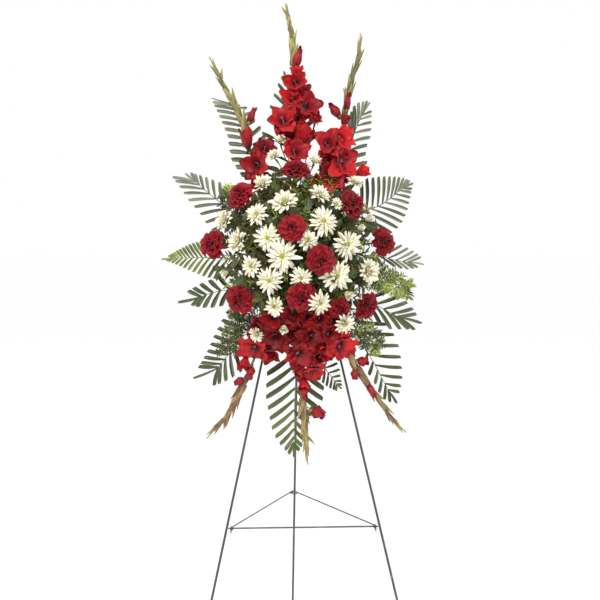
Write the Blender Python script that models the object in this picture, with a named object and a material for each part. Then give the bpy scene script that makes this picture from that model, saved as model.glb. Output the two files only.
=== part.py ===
"""A standing funeral spray: gladioli, carnations, spray chrysanthemums and palm fronds in a
caged foam block, which is tied to a folding wire easel.

Metres, +Z up. The front faces -Y, and the origin is on the floor under the middle.
"""

import math

import bmesh
import bpy
import numpy as np
from mathutils import Matrix, Vector

MM = 0.001

# Easel
EASEL_X = 0.019
LEAN = math.radians(12.0)
LEG_PLANE_Y = -0.09
LEG_PLANE_Z = 1.10
LEG_SPLAY = 0.2225
LEG_APEX_Z = 1.32
LEG_TOP_Z = 1.285
LEG_RADIUS = 3.0 * MM
FOOT_SPARE = 0.02
TOUCH_GAP = 0.3 * MM
EYE_CLEARANCE = 0.4 * MM

HINGE_Z = 1.27
HINGE_RADIUS = 2.5 * MM
REAR_LEG_SLOPE = 0.305

BRACE_Z = 0.45
BRACE_FRONT_RADIUS = 2.0 * MM
BRACE_REAR_RADIUS = 1.75 * MM
BRACE_EYE_X = 0.178
BRACE_EYE_RADIUS = 4.2 * MM
BRACE_EYE_PITCH = 3.9 * MM
BRACE_TAIL = 11.0 * MM
CROTCH_RADIUS = 5.3 * MM
CROTCH_TAIL = 20.0 * MM
CATCH_RADIUS = 1.3 * MM
CATCH_SPREAD = 8.0 * MM
CATCH_BELOW = 3.35 * MM
CATCH_APEX_BELOW = 9.0 * MM

# Holder: foam block, tray and grid, in a frame that leans with the front legs
HOLDER_Z = 1.09
FOAM_WIDTH = 0.150
FOAM_HEIGHT = 0.314
FOAM_BACK = 9.1 * MM
FOAM_FRONT = 99.1 * MM
PLATE_BACK = 3.3 * MM
PLATE_FRONT = 5.8 * MM
RIB_TOP = 8.8 * MM
RIM_TOP = 14.0 * MM
RIM_WALL = 2.0 * MM
BAR_THICKNESS = 2.0 * MM
BAR_WIDTH = 8.0 * MM
HOOP_HEIGHTS = (-0.10, 0.0, 0.10)
TIE_HEIGHT = 0.010
TIE_RADIUS = 0.8 * MM
TIE_SLOT_SPREAD = 8.0 * MM
SLOT_WIDTH = 3.0 * MM
SLOT_HEIGHT = 5.0 * MM
ROOT_DEPTH = 0.026
SIDE_ENTRY_ACROSS = 0.16
ROOT_LEAD = 0.012
HOLE_CLEARANCE = 0.5 * MM
STEM_BAR_CLEARANCE = 8.5 * MM

# Front view: places are laid out on an upright plane, as a viewer's eye sees them
EYE = Vector((-0.1625, -3.221, 1.1747))
VIEW_PLANE_Y = -0.23
DOME_TOP = 0.200
DOME_MIDDLE_Z = 1.14
DOME_ACROSS = 2.0
DOME_UP = 1.45

LEAF_THICKNESS = 0.8 * MM

# Carnations: across, up, diameter, depth nudge, turn and tip in degrees
CARNATIONS = {
    "carnation_top": (0.000, 1.348, 0.070, 0.020, 0, 30),
    "carnation_upper_left": (-0.139, 1.288, 0.066, 0.0, 0, 0),
    "carnation_upper_right": (0.141, 1.266, 0.072, 0.0, 20, 0),
    "carnation_upper_middle": (-0.010, 1.205, 0.066, 0.026, 0, 0),
    "carnation_left": (-0.208, 1.163, 0.070, 0.0, -25, 0),
    "carnation_right": (0.219, 1.170, 0.068, 0.0, 25, 0),
    "carnation_middle": (0.063, 1.125, 0.072, 0.024, 0, 0),
    "carnation_lower_left": (-0.141, 1.026, 0.070, 0.0, 0, 0),
    "carnation_lower_middle": (0.014, 1.030, 0.072, 0.004, 0, 0),
    "carnation_lower_right": (0.178, 1.011, 0.070, 0.0, 25, 0),
    "carnation_lower_inner": (0.110, 1.004, 0.055, 0.000, 0, 0),
}

# Spray chrysanthemums: where the stem enters the front of the foam (across, along), then its
# heads, each across, up, diameter, depth nudge, turn and tip in degrees
MUM_SPRAYS = {
    "mum_spray_top": ((-0.005, 0.145), (
        (-0.082, 1.313, 0.050, 0.0, 0, 0), (-0.053, 1.380, 0.046, 0.022, -20, 0),
        (-0.039, 1.420, 0.036, 0.0, 0, 0), (0.057, 1.286, 0.052, 0.0, 0, 0),
        (0.045, 1.366, 0.046, 0.010, 20, 20), (0.048, 1.469, 0.034, 0.015, 0, 0))),
    "mum_spray_left": ((-0.062, 0.062), (
        (-0.173, 1.220, 0.060, 0.0, -25, 0), (-0.139, 1.170, 0.066, 0.0, -30, 0),
        (-0.097, 1.238, 0.056, 0.0, 0, 0))),
    "mum_spray_centre_left": ((-0.030, 0.045), (
        (-0.027, 1.269, 0.070, 0.0, 0, 0), (-0.070, 1.179, 0.070, 0.0, 0, 0),
        (-0.034, 1.134, 0.080, 0.0, 0, 0))),
    "mum_spray_centre_right": ((0.030, 0.045), (
        (0.069, 1.221, 0.072, 0.0, 0, 0), (0.029, 1.173, 0.060, 0.0, 0, 0),
        (0.101, 1.264, 0.032, 0.0, 0, 0))),
    "mum_spray_right": ((0.062, 0.062), (
        (0.127, 1.163, 0.076, 0.0, 0, 0), (0.146, 1.316, 0.048, 0.0, 0, 0),
        (0.180, 1.228, 0.028, 0.0, 0, 0), (0.160, 1.205, 0.024, 0.0, 0, 0))),
    "mum_spray_right_low": ((0.058, -0.050), (
        (0.100, 1.085, 0.080, 0.0, 0, 0), (0.176, 1.094, 0.070, 0.0, 25, 0),
        (0.129, 1.039, 0.030, 0.0, 0, 0), (0.121, 0.967, 0.060, 0.015, 0, 0))),
    "mum_spray_left_low": ((-0.058, -0.050), (
        (-0.110, 1.110, 0.056, 0.0, 0, 0), (-0.066, 1.074, 0.066, 0.0, 0, 0),
        (-0.175, 1.093, 0.026, 0.0, 0, 0), (-0.095, 0.939, 0.042, 0.022, -20, 0))),
    "mum_spray_low_middle": ((-0.004, -0.055), (
        (0.013, 1.080, 0.056, 0.0, 0, 0), (-0.054, 1.010, 0.054, 0.0, 0, 0),
        (0.059, 1.018, 0.062, 0.015, 15, 0), (-0.030, 0.955, 0.028, 0.0, 0, 0))),
}
SMALL_HEAD = 0.037

# Gladioli: the face and spot where each stem enters the foam, its stem (across, up, out), a
# second tip, florets (across, up, radius, out, turn, tip) and red buds (across, up, radius,
# length)
GLADIOLI = {
    "gladiolus_top_centre": {
        "root": ("top", -0.006, 0.060),
        "stem": ((-0.005, 1.310, 0.058), (-0.005, 1.450, 0.056), (-0.006, 1.608, 0.054),
                 (-0.008, 1.664, 0.052), (-0.026, 1.766, 0.046)),
        "second_tip": (-0.036, 1.752, 0.052),
        "florets": ((-0.002, 1.568, 0.036, 0.092, 0, 0), (0.030, 1.508, 0.038, 0.090, 10, 0),
                    (-0.033, 1.475, 0.042, 0.092, -10, 0), (0.020, 1.440, 0.042, 0.086, 25, 0),
                    (0.000, 1.398, 0.038, 0.096, 0, 0)),
        "buds": ((0.005, 1.625, 0.011, 0.052),),
    },
    "gladiolus_top_left": {
        "root": ("top", -0.048, 0.064),
        "stem": ((-0.072, 1.280, 0.064), (-0.095, 1.325, 0.064), (-0.123, 1.438, 0.062),
                 (-0.151, 1.509, 0.058), (-0.178, 1.554, 0.054), (-0.214, 1.625, 0.046)),
        "second_tip": (-0.181, 1.601, 0.056),
        "florets": ((-0.102, 1.358, 0.044, 0.104, 0, 0), (-0.075, 1.404, 0.030, 0.086, 15, 10),
                    (-0.124, 1.423, 0.030, 0.098, -15, 20)),
        "buds": ((-0.112, 1.483, 0.008, 0.046),),
    },
    "gladiolus_top_right": {
        "root": ("top", 0.046, 0.064),
        "stem": ((0.078, 1.280, 0.064), (0.098, 1.313, 0.064), (0.118, 1.425, 0.062),
                 (0.125, 1.508, 0.058), (0.139, 1.575, 0.054), (0.155, 1.619, 0.050),
                 (0.160, 1.686, 0.044)),
        "second_tip": (0.117, 1.554, 0.056),
        "florets": ((0.093, 1.333, 0.040, 0.106, 0, 0), (0.118, 1.380, 0.046, 0.100, 15, 0),
                    (0.081, 1.419, 0.038, 0.106, -10, 10), (0.119, 1.433, 0.036, 0.112, 5, 20),
                    (0.122, 1.473, 0.026, 0.092, 0, 30)),
        "buds": ((0.094, 1.498, 0.009, 0.044), (0.128, 1.520, 0.008, 0.040)),
    },
    "gladiolus_bottom_centre": {
        "root": ("bottom", 0.002, 0.060),
        "stem": ((0.012, 0.900, 0.062), (0.016, 0.783, 0.062), (0.023, 0.700, 0.058),
                 (0.030, 0.610, 0.050)),
        "second_tip": (0.048, 0.659, 0.056),
        "florets": ((0.065, 0.975, 0.036, 0.122, 10, 0), (0.045, 0.930, 0.044, 0.100, 0, 0),
                    (0.008, 0.883, 0.046, 0.106, 0, -10), (0.038, 0.840, 0.038, 0.100, 5, -10)),
        "buds": ((0.019, 0.798, 0.011, 0.036), (0.054, 0.743, 0.014, 0.030)),
    },
    "gladiolus_bottom_left": {
        "root": ("bottom", -0.050, 0.060),
        "stem": ((-0.085, 0.925, 0.062), (-0.125, 0.830, 0.062), (-0.150, 0.774, 0.058),
                 (-0.168, 0.740, 0.054), (-0.224, 0.679, 0.046)),
        "second_tip": (-0.183, 0.698, 0.052),
        "florets": ((-0.054, 0.980, 0.034, 0.122, -5, 0), (-0.053, 0.930, 0.044, 0.108, -5, 0),
                    (-0.108, 0.899, 0.044, 0.104, -10, -10)),
        "buds": ((-0.116, 0.848, 0.010, 0.038), (-0.143, 0.823, 0.009, 0.036)),
    },
    "gladiolus_bottom_right": {
        "root": ("bottom", 0.052, 0.060),
        "stem": ((0.100, 0.935, 0.062), (0.140, 0.873, 0.062), (0.181, 0.810, 0.060),
                 (0.213, 0.768, 0.056), (0.244, 0.723, 0.052), (0.279, 0.689, 0.046)),
        "second_tip": (0.246, 0.706, 0.056),
        "florets": ((0.085, 0.933, 0.034, 0.122, 5, 0), (0.119, 0.905, 0.046, 0.104, 10, -5)),
        "buds": ((0.168, 0.868, 0.014, 0.030), (0.150, 0.836, 0.010, 0.034),
                 (0.190, 0.799, 0.009, 0.042)),
    },
}
FLORET_REACH = 0.025
FLORET_DOME = 0.5
ROOT_FREE = 22
BRACTS = 7

# Palm fronds: the face and spot where the stalk enters the foam, the distance in front of the
# legs at root and tip, the width of the leaflets at root and tip in millimetres, the rib
# (across, up), the end of its last leaflet, and for each side the number of leaflets, the share
# of the rib where they start and the line that their ends lie on
FRONDS = {
    "frond_upper_left": {
        "root": ("top", -0.066, 0.028), "out": (0.026, 0.04), "width": (7, 6),
        "rib": ((-0.090, 1.285), (-0.107, 1.350), (-0.120, 1.425), (-0.133, 1.480),
                (-0.140, 1.510)),
        "end": (-0.210, 1.525),
        "sides": ((10, 0.22, ((-0.140, 1.337), (-0.163, 1.375), (-0.172, 1.435), (-0.193, 1.485),
                       (-0.207, 1.515))),
                  (6, 0.3, ((-0.065, 1.410), (-0.080, 1.448), (-0.098, 1.470), (-0.120, 1.500)))),
    },
    "frond_upper_centre": {
        "root": ("top", -0.026, 0.028), "out": (0.027, 0.03), "width": (7.5, 6.5),
        "rib": ((-0.020, 1.300), (-0.018, 1.400), (-0.013, 1.475), (-0.010, 1.542)),
        "end": (-0.030, 1.593),
        "sides": ((6, 0.28, ((-0.095, 1.425), (-0.077, 1.455), (-0.068, 1.500), (-0.052, 1.548),
                       (-0.037, 1.580))),
                  (5, 0.4, ((0.065, 1.438), (0.072, 1.470), (0.045, 1.515), (0.010, 1.565)))),
    },
    "frond_upper_right": {
        "root": ("top", 0.062, 0.028), "out": (0.026, 0.036), "width": (7, 5),
        "rib": ((0.102, 1.290), (0.122, 1.360), (0.135, 1.400), (0.145, 1.440),
                (0.158, 1.472), (0.170, 1.492)),
        "end": (0.185, 1.518),
        "sides": ((6, 0.55, ((0.130, 1.480), (0.147, 1.515), (0.165, 1.520), (0.177, 1.522))),
                  (7, 0.18, ((0.175, 1.345), (0.180, 1.367), (0.175, 1.400), (0.188, 1.433),
                       (0.190, 1.458), (0.190, 1.495)))),
    },
    "frond_right_upper": {
        "root": ("right", 0.118, 0.026), "out": (0.024, 0.05), "width": (7, 5.5),
        "rib": ((0.110, 1.200), (0.147, 1.235), (0.180, 1.250), (0.210, 1.260),
                (0.235, 1.278), (0.255, 1.295), (0.275, 1.308)),
        "end": (0.295, 1.317),
        "sides": ((9, 0.34, ((0.163, 1.323), (0.177, 1.330), (0.210, 1.335), (0.240, 1.335),
                       (0.265, 1.333), (0.285, 1.325))),
                  (8, 0.16, ((0.225, 1.180), (0.242, 1.192), (0.263, 1.210), (0.280, 1.245),
                       (0.287, 1.278), (0.292, 1.302)))),
    },
    "frond_left_upper": {
        "root": ("left", 0.118, 0.024), "out": (0.024, 0.046), "width": (6.5, 6),
        "rib": ((-0.115, 1.215), (-0.150, 1.242), (-0.185, 1.265), (-0.207, 1.282),
                (-0.230, 1.302), (-0.253, 1.323)),
        "end": (-0.275, 1.340),
        "sides": ((8, 0.1, ((-0.210, 1.198), (-0.228, 1.220), (-0.245, 1.248), (-0.265, 1.268),
                       (-0.285, 1.300), (-0.307, 1.330))),
                  (7, 0.22, ((-0.155, 1.302), (-0.175, 1.315), (-0.200, 1.323), (-0.217, 1.330),
                       (-0.233, 1.335), (-0.260, 1.343)))),
    },
    "frond_left_middle": {
        "root": ("left", 0.02, 0.03), "out": (0.03, 0.058), "width": (6.5, 5),
        "rib": ((-0.100, 1.123), (-0.140, 1.127), (-0.185, 1.130), (-0.240, 1.131),
                (-0.290, 1.130), (-0.318, 1.129)),
        "end": (-0.335, 1.127),
        "sides": ((10, 0.24, ((-0.190, 1.075), (-0.215, 1.079), (-0.233, 1.084), (-0.263, 1.097),
                       (-0.292, 1.110), (-0.323, 1.123))),
                  (7, 0.35, ((-0.207, 1.175), (-0.240, 1.173), (-0.265, 1.166), (-0.295, 1.151),
                       (-0.318, 1.137)))),
    },
    "frond_left_lower": {
        "root": ("left", -0.04, 0.02), "out": (0.02, 0.04), "width": (9, 8),
        "rib": ((-0.110, 1.062), (-0.145, 1.055), (-0.177, 1.050), (-0.200, 1.046),
                (-0.220, 1.040), (-0.240, 1.032)),
        "end": (-0.295, 1.020),
        "sides": ((6, 0.28, ((-0.165, 1.008), (-0.190, 1.008), (-0.205, 1.005), (-0.220, 1.004),
                       (-0.240, 1.005), (-0.260, 1.010))),
                  (5, 0.42, ((-0.193, 1.087), (-0.217, 1.077), (-0.235, 1.070), (-0.253, 1.060),
                       (-0.270, 1.050)))),
    },
    "frond_lower_left": {
        "root": ("left", -0.11, 0.028), "out": (0.028, 0.052), "width": (8, 7.5),
        "rib": ((-0.105, 0.985), (-0.135, 0.955), (-0.150, 0.915), (-0.168, 0.890),
                (-0.182, 0.873), (-0.198, 0.853)),
        "end": (-0.258, 0.830),
        "sides": ((6, 0.42, ((-0.115, 0.855), (-0.135, 0.845), (-0.150, 0.835), (-0.170, 0.823),
                       (-0.188, 0.815), (-0.205, 0.810))),
                  (7, 0.12, ((-0.175, 0.998), (-0.190, 0.970), (-0.205, 0.940), (-0.220, 0.905),
                       (-0.233, 0.880), (-0.245, 0.860)))),
    },
    "frond_bottom_centre": {
        "root": ("bottom", -0.014, 0.024), "out": (0.024, 0.04), "width": (10, 8.5),
        "rib": ((0.000, 0.910), (-0.001, 0.825), (-0.004, 0.750), (-0.005, 0.700),
                (-0.006, 0.657)),
        "end": (-0.005, 0.627),
        "sides": ((7, 0.2, ((0.072, 0.815), (0.068, 0.775), (0.045, 0.708), (0.022, 0.660),
                       (0.010, 0.645))),
                  (7, 0.1, ((-0.075, 0.865), (-0.077, 0.825), (-0.080, 0.777), (-0.068, 0.733),
                       (-0.060, 0.698), (-0.045, 0.665), (-0.020, 0.632)))),
    },
    "frond_bottom_small": {
        "root": ("bottom", 0.028, 0.04), "out": (0.04, 0.046), "width": (5.5, 5),
        "rib": ((0.055, 0.905), (0.065, 0.865), (0.080, 0.843), (0.095, 0.825),
                (0.105, 0.810)),
        "end": (0.115, 0.800),
        "sides": ((5, 0.35, ((0.095, 0.882), (0.110, 0.860), (0.113, 0.835), (0.117, 0.812))),
                  (5, 0.35, ((0.058, 0.823), (0.072, 0.810), (0.083, 0.802), (0.100, 0.795)))),
    },
    "frond_right_lower": {
        "root": ("right", -0.105, 0.02), "out": (0.02, 0.034), "width": (7.5, 6.5),
        "rib": ((0.115, 1.000), (0.140, 0.960), (0.165, 0.920), (0.188, 0.880),
                (0.205, 0.850), (0.223, 0.815), (0.237, 0.790)),
        "end": (0.255, 0.762),
        "sides": ((7, 0.12, ((0.230, 0.963), (0.245, 0.945), (0.260, 0.912), (0.268, 0.870),
                       (0.270, 0.823), (0.263, 0.792))),
                  (6, 0.52, ((0.170, 0.860), (0.180, 0.838), (0.198, 0.812), (0.215, 0.777),
                       (0.237, 0.765)))),
    },
    "frond_right_middle": {
        "root": ("right", -0.03, 0.03), "out": (0.03, 0.056), "width": (8, 7.5),
        "rib": ((0.113, 1.065), (0.150, 1.040), (0.185, 1.020), (0.220, 1.002),
                (0.240, 0.990), (0.260, 0.980)),
        "end": (0.318, 0.965),
        "sides": ((5, 0.42, ((0.240, 1.052), (0.270, 1.030), (0.292, 1.010), (0.305, 0.990))),
                  (5, 0.42, ((0.215, 0.958), (0.235, 0.950), (0.255, 0.948), (0.275, 0.950),
                       (0.300, 0.948)))),
    },
    "frond_right_grey": {
        "root": ("right", 0.04, 0.02), "out": (0.02, 0.03), "width": (5.5, 5),
        "rib": ((0.113, 1.130), (0.180, 1.137), (0.215, 1.134), (0.240, 1.126),
                (0.265, 1.121), (0.287, 1.119)),
        "end": (0.323, 1.113),
        "sides": ((6, 0.42, ((0.250, 1.170), (0.273, 1.160), (0.287, 1.153), (0.305, 1.143),
                       (0.315, 1.133))),
                  (5, 0.55, ((0.250, 1.107), (0.273, 1.101), (0.287, 1.100), (0.307, 1.105)))),
    },
}
RIB_HALF_WIDTH = (2.0 * MM, 0.8 * MM)
LAST_LEAFLET = 0.96

# Small-leaved filler: the face and spot where each stem enters, its stem (across, up, out),
# leaf pairs and leaf length
FILLERS = {
    "filler_upper_left": {
        "root": ("left", 0.085, 0.060),
        "stem": ((-0.105, 1.190, 0.064), (-0.150, 1.235, 0.070), (-0.175, 1.300, 0.070)),
        "leaves": (7, 0.031),
    },
    "filler_right": {
        "root": ("right", 0.008, 0.060),
        "stem": ((0.130, 1.098, 0.062), (0.200, 1.085, 0.066), (0.285, 1.050, 0.060)),
        "leaves": (8, 0.031),
    },
    "filler_lower_left": {
        "root": ("left", -0.080, 0.060),
        "stem": ((-0.105, 1.000, 0.062), (-0.145, 0.965, 0.062), (-0.170, 0.900, 0.058)),
        "leaves": (6, 0.031),
    },
    "filler_lower_right": {
        "root": ("right", -0.080, 0.060),
        "stem": ((0.125, 0.990, 0.062), (0.165, 0.950, 0.062), (0.205, 0.905, 0.058)),
        "leaves": (6, 0.031),
    },
}

COLOURS = {
    "easel_green": ((0.045, 0.060, 0.048), 0.45, 0.6),
    "cage_green": ((0.03, 0.13, 0.05), 0.5, 0.0),
    "foam_green": ((0.05, 0.17, 0.07), 0.95, 0.0),
    "tie_green": ((0.04, 0.10, 0.05), 0.5, 0.0),
    "gladiolus_red": ((0.62, 0.01, 0.015), 0.5, 0.0),
    "carnation_red": ((0.38, 0.005, 0.02), 0.6, 0.0),
    "mum_white": ((0.85, 0.85, 0.72), 0.6, 0.0),
    "palm_green": ((0.06, 0.14, 0.04), 0.5, 0.0),
    "filler_green": ((0.10, 0.22, 0.04), 0.6, 0.0),
}


def clear_scene():
    for obj in list(bpy.data.objects):
        bpy.data.objects.remove(obj, do_unlink=True)


def new_collection(name, shown=True):
    collection = bpy.data.collections.new(name)
    collection.hide_render = not shown
    bpy.context.scene.collection.children.link(collection)
    return collection


def make_materials():
    for name, (colour, roughness, metallic) in COLOURS.items():
        material = bpy.data.materials.new(name)
        material.use_nodes = True
        shader = material.node_tree.nodes["Principled BSDF"]
        shader.inputs["Base Color"].default_value = (*colour, 1.0)
        shader.inputs["Roughness"].default_value = roughness
        shader.inputs["Metallic"].default_value = metallic


# Places


def leg_plane_y(z):
    return LEG_PLANE_Y + (z - LEG_PLANE_Z) * math.tan(LEAN)


def leg_offset(z):
    return LEG_SPLAY * (LEG_APEX_Z - z)


def rear_leg_y(z):
    return leg_plane_y(HINGE_Z) + (HINGE_Z - z) * REAR_LEG_SLOPE


def place(across, up, out):
    """The point on the sight line through (across, up) of the view plane that lies the
    distance out in front of the leaning plane of the front legs."""
    sight = Vector((across, VIEW_PLANE_Y, up)) - EYE
    lean = math.tan(LEAN)
    wanted = leg_plane_y(EYE.z) - out / math.cos(LEAN) - EYE.y
    return EYE + sight * (wanted / (sight.y - lean * sight.z))


def holder_matrix():
    origin = Vector((EASEL_X, leg_plane_y(HOLDER_Z), HOLDER_Z))
    return Matrix.Translation(origin) @ Matrix.Rotation(-LEAN, 4, "X")


def in_holder(x, out, along):
    """A point of the leaning holder: across from its middle, out from the leg plane and
    along the legs from its middle."""
    return holder_matrix() @ Vector((x, -out, along))


def dome_out(across, up):
    """How far the heads stand out: a dome that is highest at the middle of the spray."""
    return DOME_TOP - DOME_ACROSS * across**2 - DOME_UP * (up - DOME_MIDDLE_Z) ** 2


def facing(across, up, turn, tip):
    """The way a head looks: out from the dome, then turned to the right and tipped up."""
    yaw = math.atan2(across, 0.22) + math.radians(turn)
    pitch = math.atan2(0.8 * (up - DOME_MIDDLE_Z), 0.25) + math.radians(tip)
    return Vector((math.sin(yaw) * math.cos(pitch), -math.cos(yaw) * math.cos(pitch),
                   math.sin(pitch)))


# Shapes


def scratch_object(mesh, matrix=None):
    """A piece that a later Boolean union takes in."""
    piece = bpy.data.objects.new("piece", mesh)
    if matrix is not None:
        piece.matrix_world = matrix
    bpy.context.scene.collection.objects.link(piece)
    return piece


def as_mesh(curve_object):
    """The curve's surface as a mesh object, with its caps welded."""
    bpy.context.view_layer.update()
    graph = bpy.context.evaluated_depsgraph_get()
    mesh = bpy.data.meshes.new_from_object(curve_object.evaluated_get(graph))
    work = bmesh.new()
    work.from_mesh(mesh)
    bmesh.ops.remove_doubles(work, verts=work.verts, dist=1e-6)
    bmesh.ops.recalc_face_normals(work, faces=work.faces)
    work.to_mesh(mesh)
    work.free()
    piece = scratch_object(mesh, curve_object.matrix_world.copy())
    bpy.data.objects.remove(curve_object, do_unlink=True)
    return piece


def wire_curve(name, points, radius, rounds=2, cyclic=False, radii=None):
    """A round wire along points; its section has 4 + 2 * rounds sides."""
    curve = bpy.data.curves.new(name, "CURVE")
    curve.dimensions = "3D"
    curve.bevel_depth = radius
    curve.bevel_resolution = rounds
    curve.use_fill_caps = True
    spline = curve.splines.new("POLY")
    spline.points.add(len(points) - 1)
    for index, point in enumerate(points):
        spline.points[index].co = (*point, 1.0)
        if radii:
            spline.points[index].radius = radii[index] / radius
    spline.use_cyclic_u = cyclic
    wire = bpy.data.objects.new(name, curve)
    bpy.context.scene.collection.objects.link(wire)
    return wire


def wire_piece(points, radius, rounds=2, cyclic=False, radii=None):
    return as_mesh(wire_curve("wire", points, radius, rounds, cyclic, radii))


def box_piece(low, high, matrix):
    """A box between two corners of the matrix's frame."""
    work = bmesh.new()
    bmesh.ops.create_cube(work, size=1.0)
    middle = (Vector(low) + Vector(high)) / 2
    size = Vector(high) - Vector(low)
    shape = Matrix.Translation(middle) @ Matrix.Diagonal((*size, 1.0))
    bmesh.ops.transform(work, matrix=shape, verts=work.verts)
    mesh = bpy.data.meshes.new("box")
    work.to_mesh(mesh)
    work.free()
    return scratch_object(mesh, matrix)


def holder_box(x, out, along):
    """A box of the holder, from its ranges across, out and along."""
    return box_piece((x[0], -out[1], along[0]), (x[1], -out[0], along[1]), holder_matrix())


def bridge(work, lower, upper):
    """Triangles between two rings of (angle, vertex). The ring whose next edge has its
    middle at the nearer angle moves on each time, so that rings with unlike numbers of
    points join evenly."""

    def middle(ring, index):
        if index >= len(ring):
            return 9.0
        following = ring[index + 1][0] if index + 1 < len(ring) else ring[0][0] + 2 * math.pi
        return (ring[index][0] + following) / 2

    a, b = 0, 0
    while a < len(lower) or b < len(upper):
        low, high = lower[a % len(lower)][1], upper[b % len(upper)][1]
        if middle(lower, a) <= middle(upper, b):
            a += 1
            work.faces.new((low, lower[a % len(lower)][1], high))
        else:
            b += 1
            work.faces.new((low, upper[b % len(upper)][1], high))


def ring(count, radius, height, phase=0.0):
    """A round ring: lists of angles, radii and heights."""
    angles = [2 * math.pi * (i + phase) / count for i in range(count)]
    return angles, [radius] * count, [height] * count


def zigzag(count, outer, inner, height, rise):
    """A ring whose points go out and in by turns, for the teeth of petals."""
    angles = [2 * math.pi * i / count for i in range(count)]
    radii = [outer if i % 2 == 0 else inner for i in range(count)]
    heights = [height + (rise if i % 4 == 0 else -rise if i % 4 == 2 else 0.0)
               for i in range(count)]
    return angles, radii, heights


def petal_ring(petals, reach, valley, heights, spread, phase=0.0):
    """A ring of petals: a valley and then a blunt end of two points, or one point where
    spread is 0."""
    angles, radii, levels = [], [], []
    for i in range(petals):
        middle = 2 * math.pi * (i + phase) / petals
        ends = [(-spread, reach), (spread, reach)] if spread else [(0.0, reach)]
        for turn, radius in [(-math.pi / petals, valley), *ends]:
            angles.append(middle + turn)
            radii.append(radius)
            levels.append(heights[0] if radius == valley else heights[1 + i % 2])
    return angles, radii, levels


def stalk_rings(work, stalk, head, matrix):
    """Square rings along a stalk that ends at a head: the stalk's points are in the world,
    the rings in the head's own frame."""
    local = [matrix.inverted() @ point for point, _ in stalk] + [head]
    built = []
    for index, (_, radius) in enumerate(stalk):
        way = local[index + 1] - local[max(0, index - 1)]
        turn = Vector((0.0, 0.0, 1.0)).rotation_difference(way)
        corners = []
        for quarter in range(4):
            angle = quarter * math.pi / 2
            edge = Vector((radius * math.cos(angle), radius * math.sin(angle), 0.0))
            corners.append((angle, work.verts.new(local[index] + turn @ edge)))
        built.append(corners)
    return built


def loft(rings, apex, scale, matrix, stalk=()):
    """A closed body over rings from the underside to the top, with a flat underside and an
    apex point, on a stalk if one is given. Rings hold angles, radii and heights in
    millimetres, and a stalk holds points and radii from its far end."""
    work = bmesh.new()
    built = stalk_rings(work, stalk, Vector((0.0, 0.0, rings[0][2][0] * MM * scale)), matrix)
    for angles, radii, heights in rings:
        points = [(angle % (2 * math.pi), radius, height)
                  for angle, radius, height in zip(angles, radii, heights)]
        points.sort()
        built.append([
            (angle, work.verts.new((radius * math.cos(angle) * MM * scale,
                                    radius * math.sin(angle) * MM * scale,
                                    height * MM * scale)))
            for angle, radius, height in points])
    work.faces.new([vert for _, vert in reversed(built[0])])
    for lower, upper in zip(built, built[1:]):
        bridge(work, lower, upper)
    top = work.verts.new((0.0, 0.0, apex * MM * scale))
    last = [vert for _, vert in built[-1]]
    for first, second in zip(last, last[1:] + last[:1]):
        work.faces.new((first, second, top))
    bmesh.ops.triangulate(work, faces=work.faces)
    mesh = bpy.data.meshes.new("loft")
    work.to_mesh(mesh)
    work.free()
    return scratch_object(mesh, matrix)


def aim(point, direction, roll=0.0):
    """A frame at point whose Z axis looks along direction."""
    turn = direction.to_track_quat("Z", "Y").to_matrix().to_4x4()
    return Matrix.Translation(point) @ turn @ Matrix.Rotation(roll, 4, "Z")


def finished(piece, name, material, collection):
    piece.name = name
    piece.data.name = name
    piece.data.materials.clear()
    piece.data.materials.append(bpy.data.materials[material])
    for other in list(piece.users_collection):
        other.objects.unlink(piece)
    collection.objects.link(piece)
    piece.data.shade_smooth()
    piece.data.set_sharp_from_angle(angle=math.radians(40))
    return piece


def combine(base, others, operation):
    """One Boolean on a collection, applied, with the collection's objects removed."""
    tools = new_collection("tools", shown=False)
    for other in others:
        for home in list(other.users_collection):
            home.objects.unlink(other)
        tools.objects.link(other)
    boolean = base.modifiers.new("join", "BOOLEAN")
    boolean.operation = operation
    boolean.operand_type = "COLLECTION"
    boolean.collection = tools
    boolean.solver = "MANIFOLD"
    bpy.context.view_layer.update()
    graph = bpy.context.evaluated_depsgraph_get()
    mesh = bpy.data.meshes.new_from_object(base.evaluated_get(graph))
    result = scratch_object(mesh, base.matrix_world.copy())
    for other in [*others, base]:
        bpy.data.objects.remove(other, do_unlink=True)
    bpy.data.collections.remove(tools)
    return result


def fuse(name, pieces, material, collection):
    return finished(combine(pieces[0], pieces[1:], "UNION"), name, material, collection)


# Easel


def cut_level(leg):
    """The leg without what reaches below the floor, so that its foot is level."""
    floor = box_piece((-1.0, -1.0, -0.1), (1.0, 1.0, 0.0), Matrix.Identity(4))
    return combine(leg, [floor], "DIFFERENCE")


def front_leg(name, side, collection):
    """A straight wire from its foot to its top."""
    ends = [Vector((EASEL_X + side * leg_offset(z), leg_plane_y(z), z))
            for z in (-FOOT_SPARE, LEG_TOP_Z)]
    leg = wire_piece(ends, LEG_RADIUS, 4)
    finished(cut_level(leg), name, "easel_green", collection)


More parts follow.
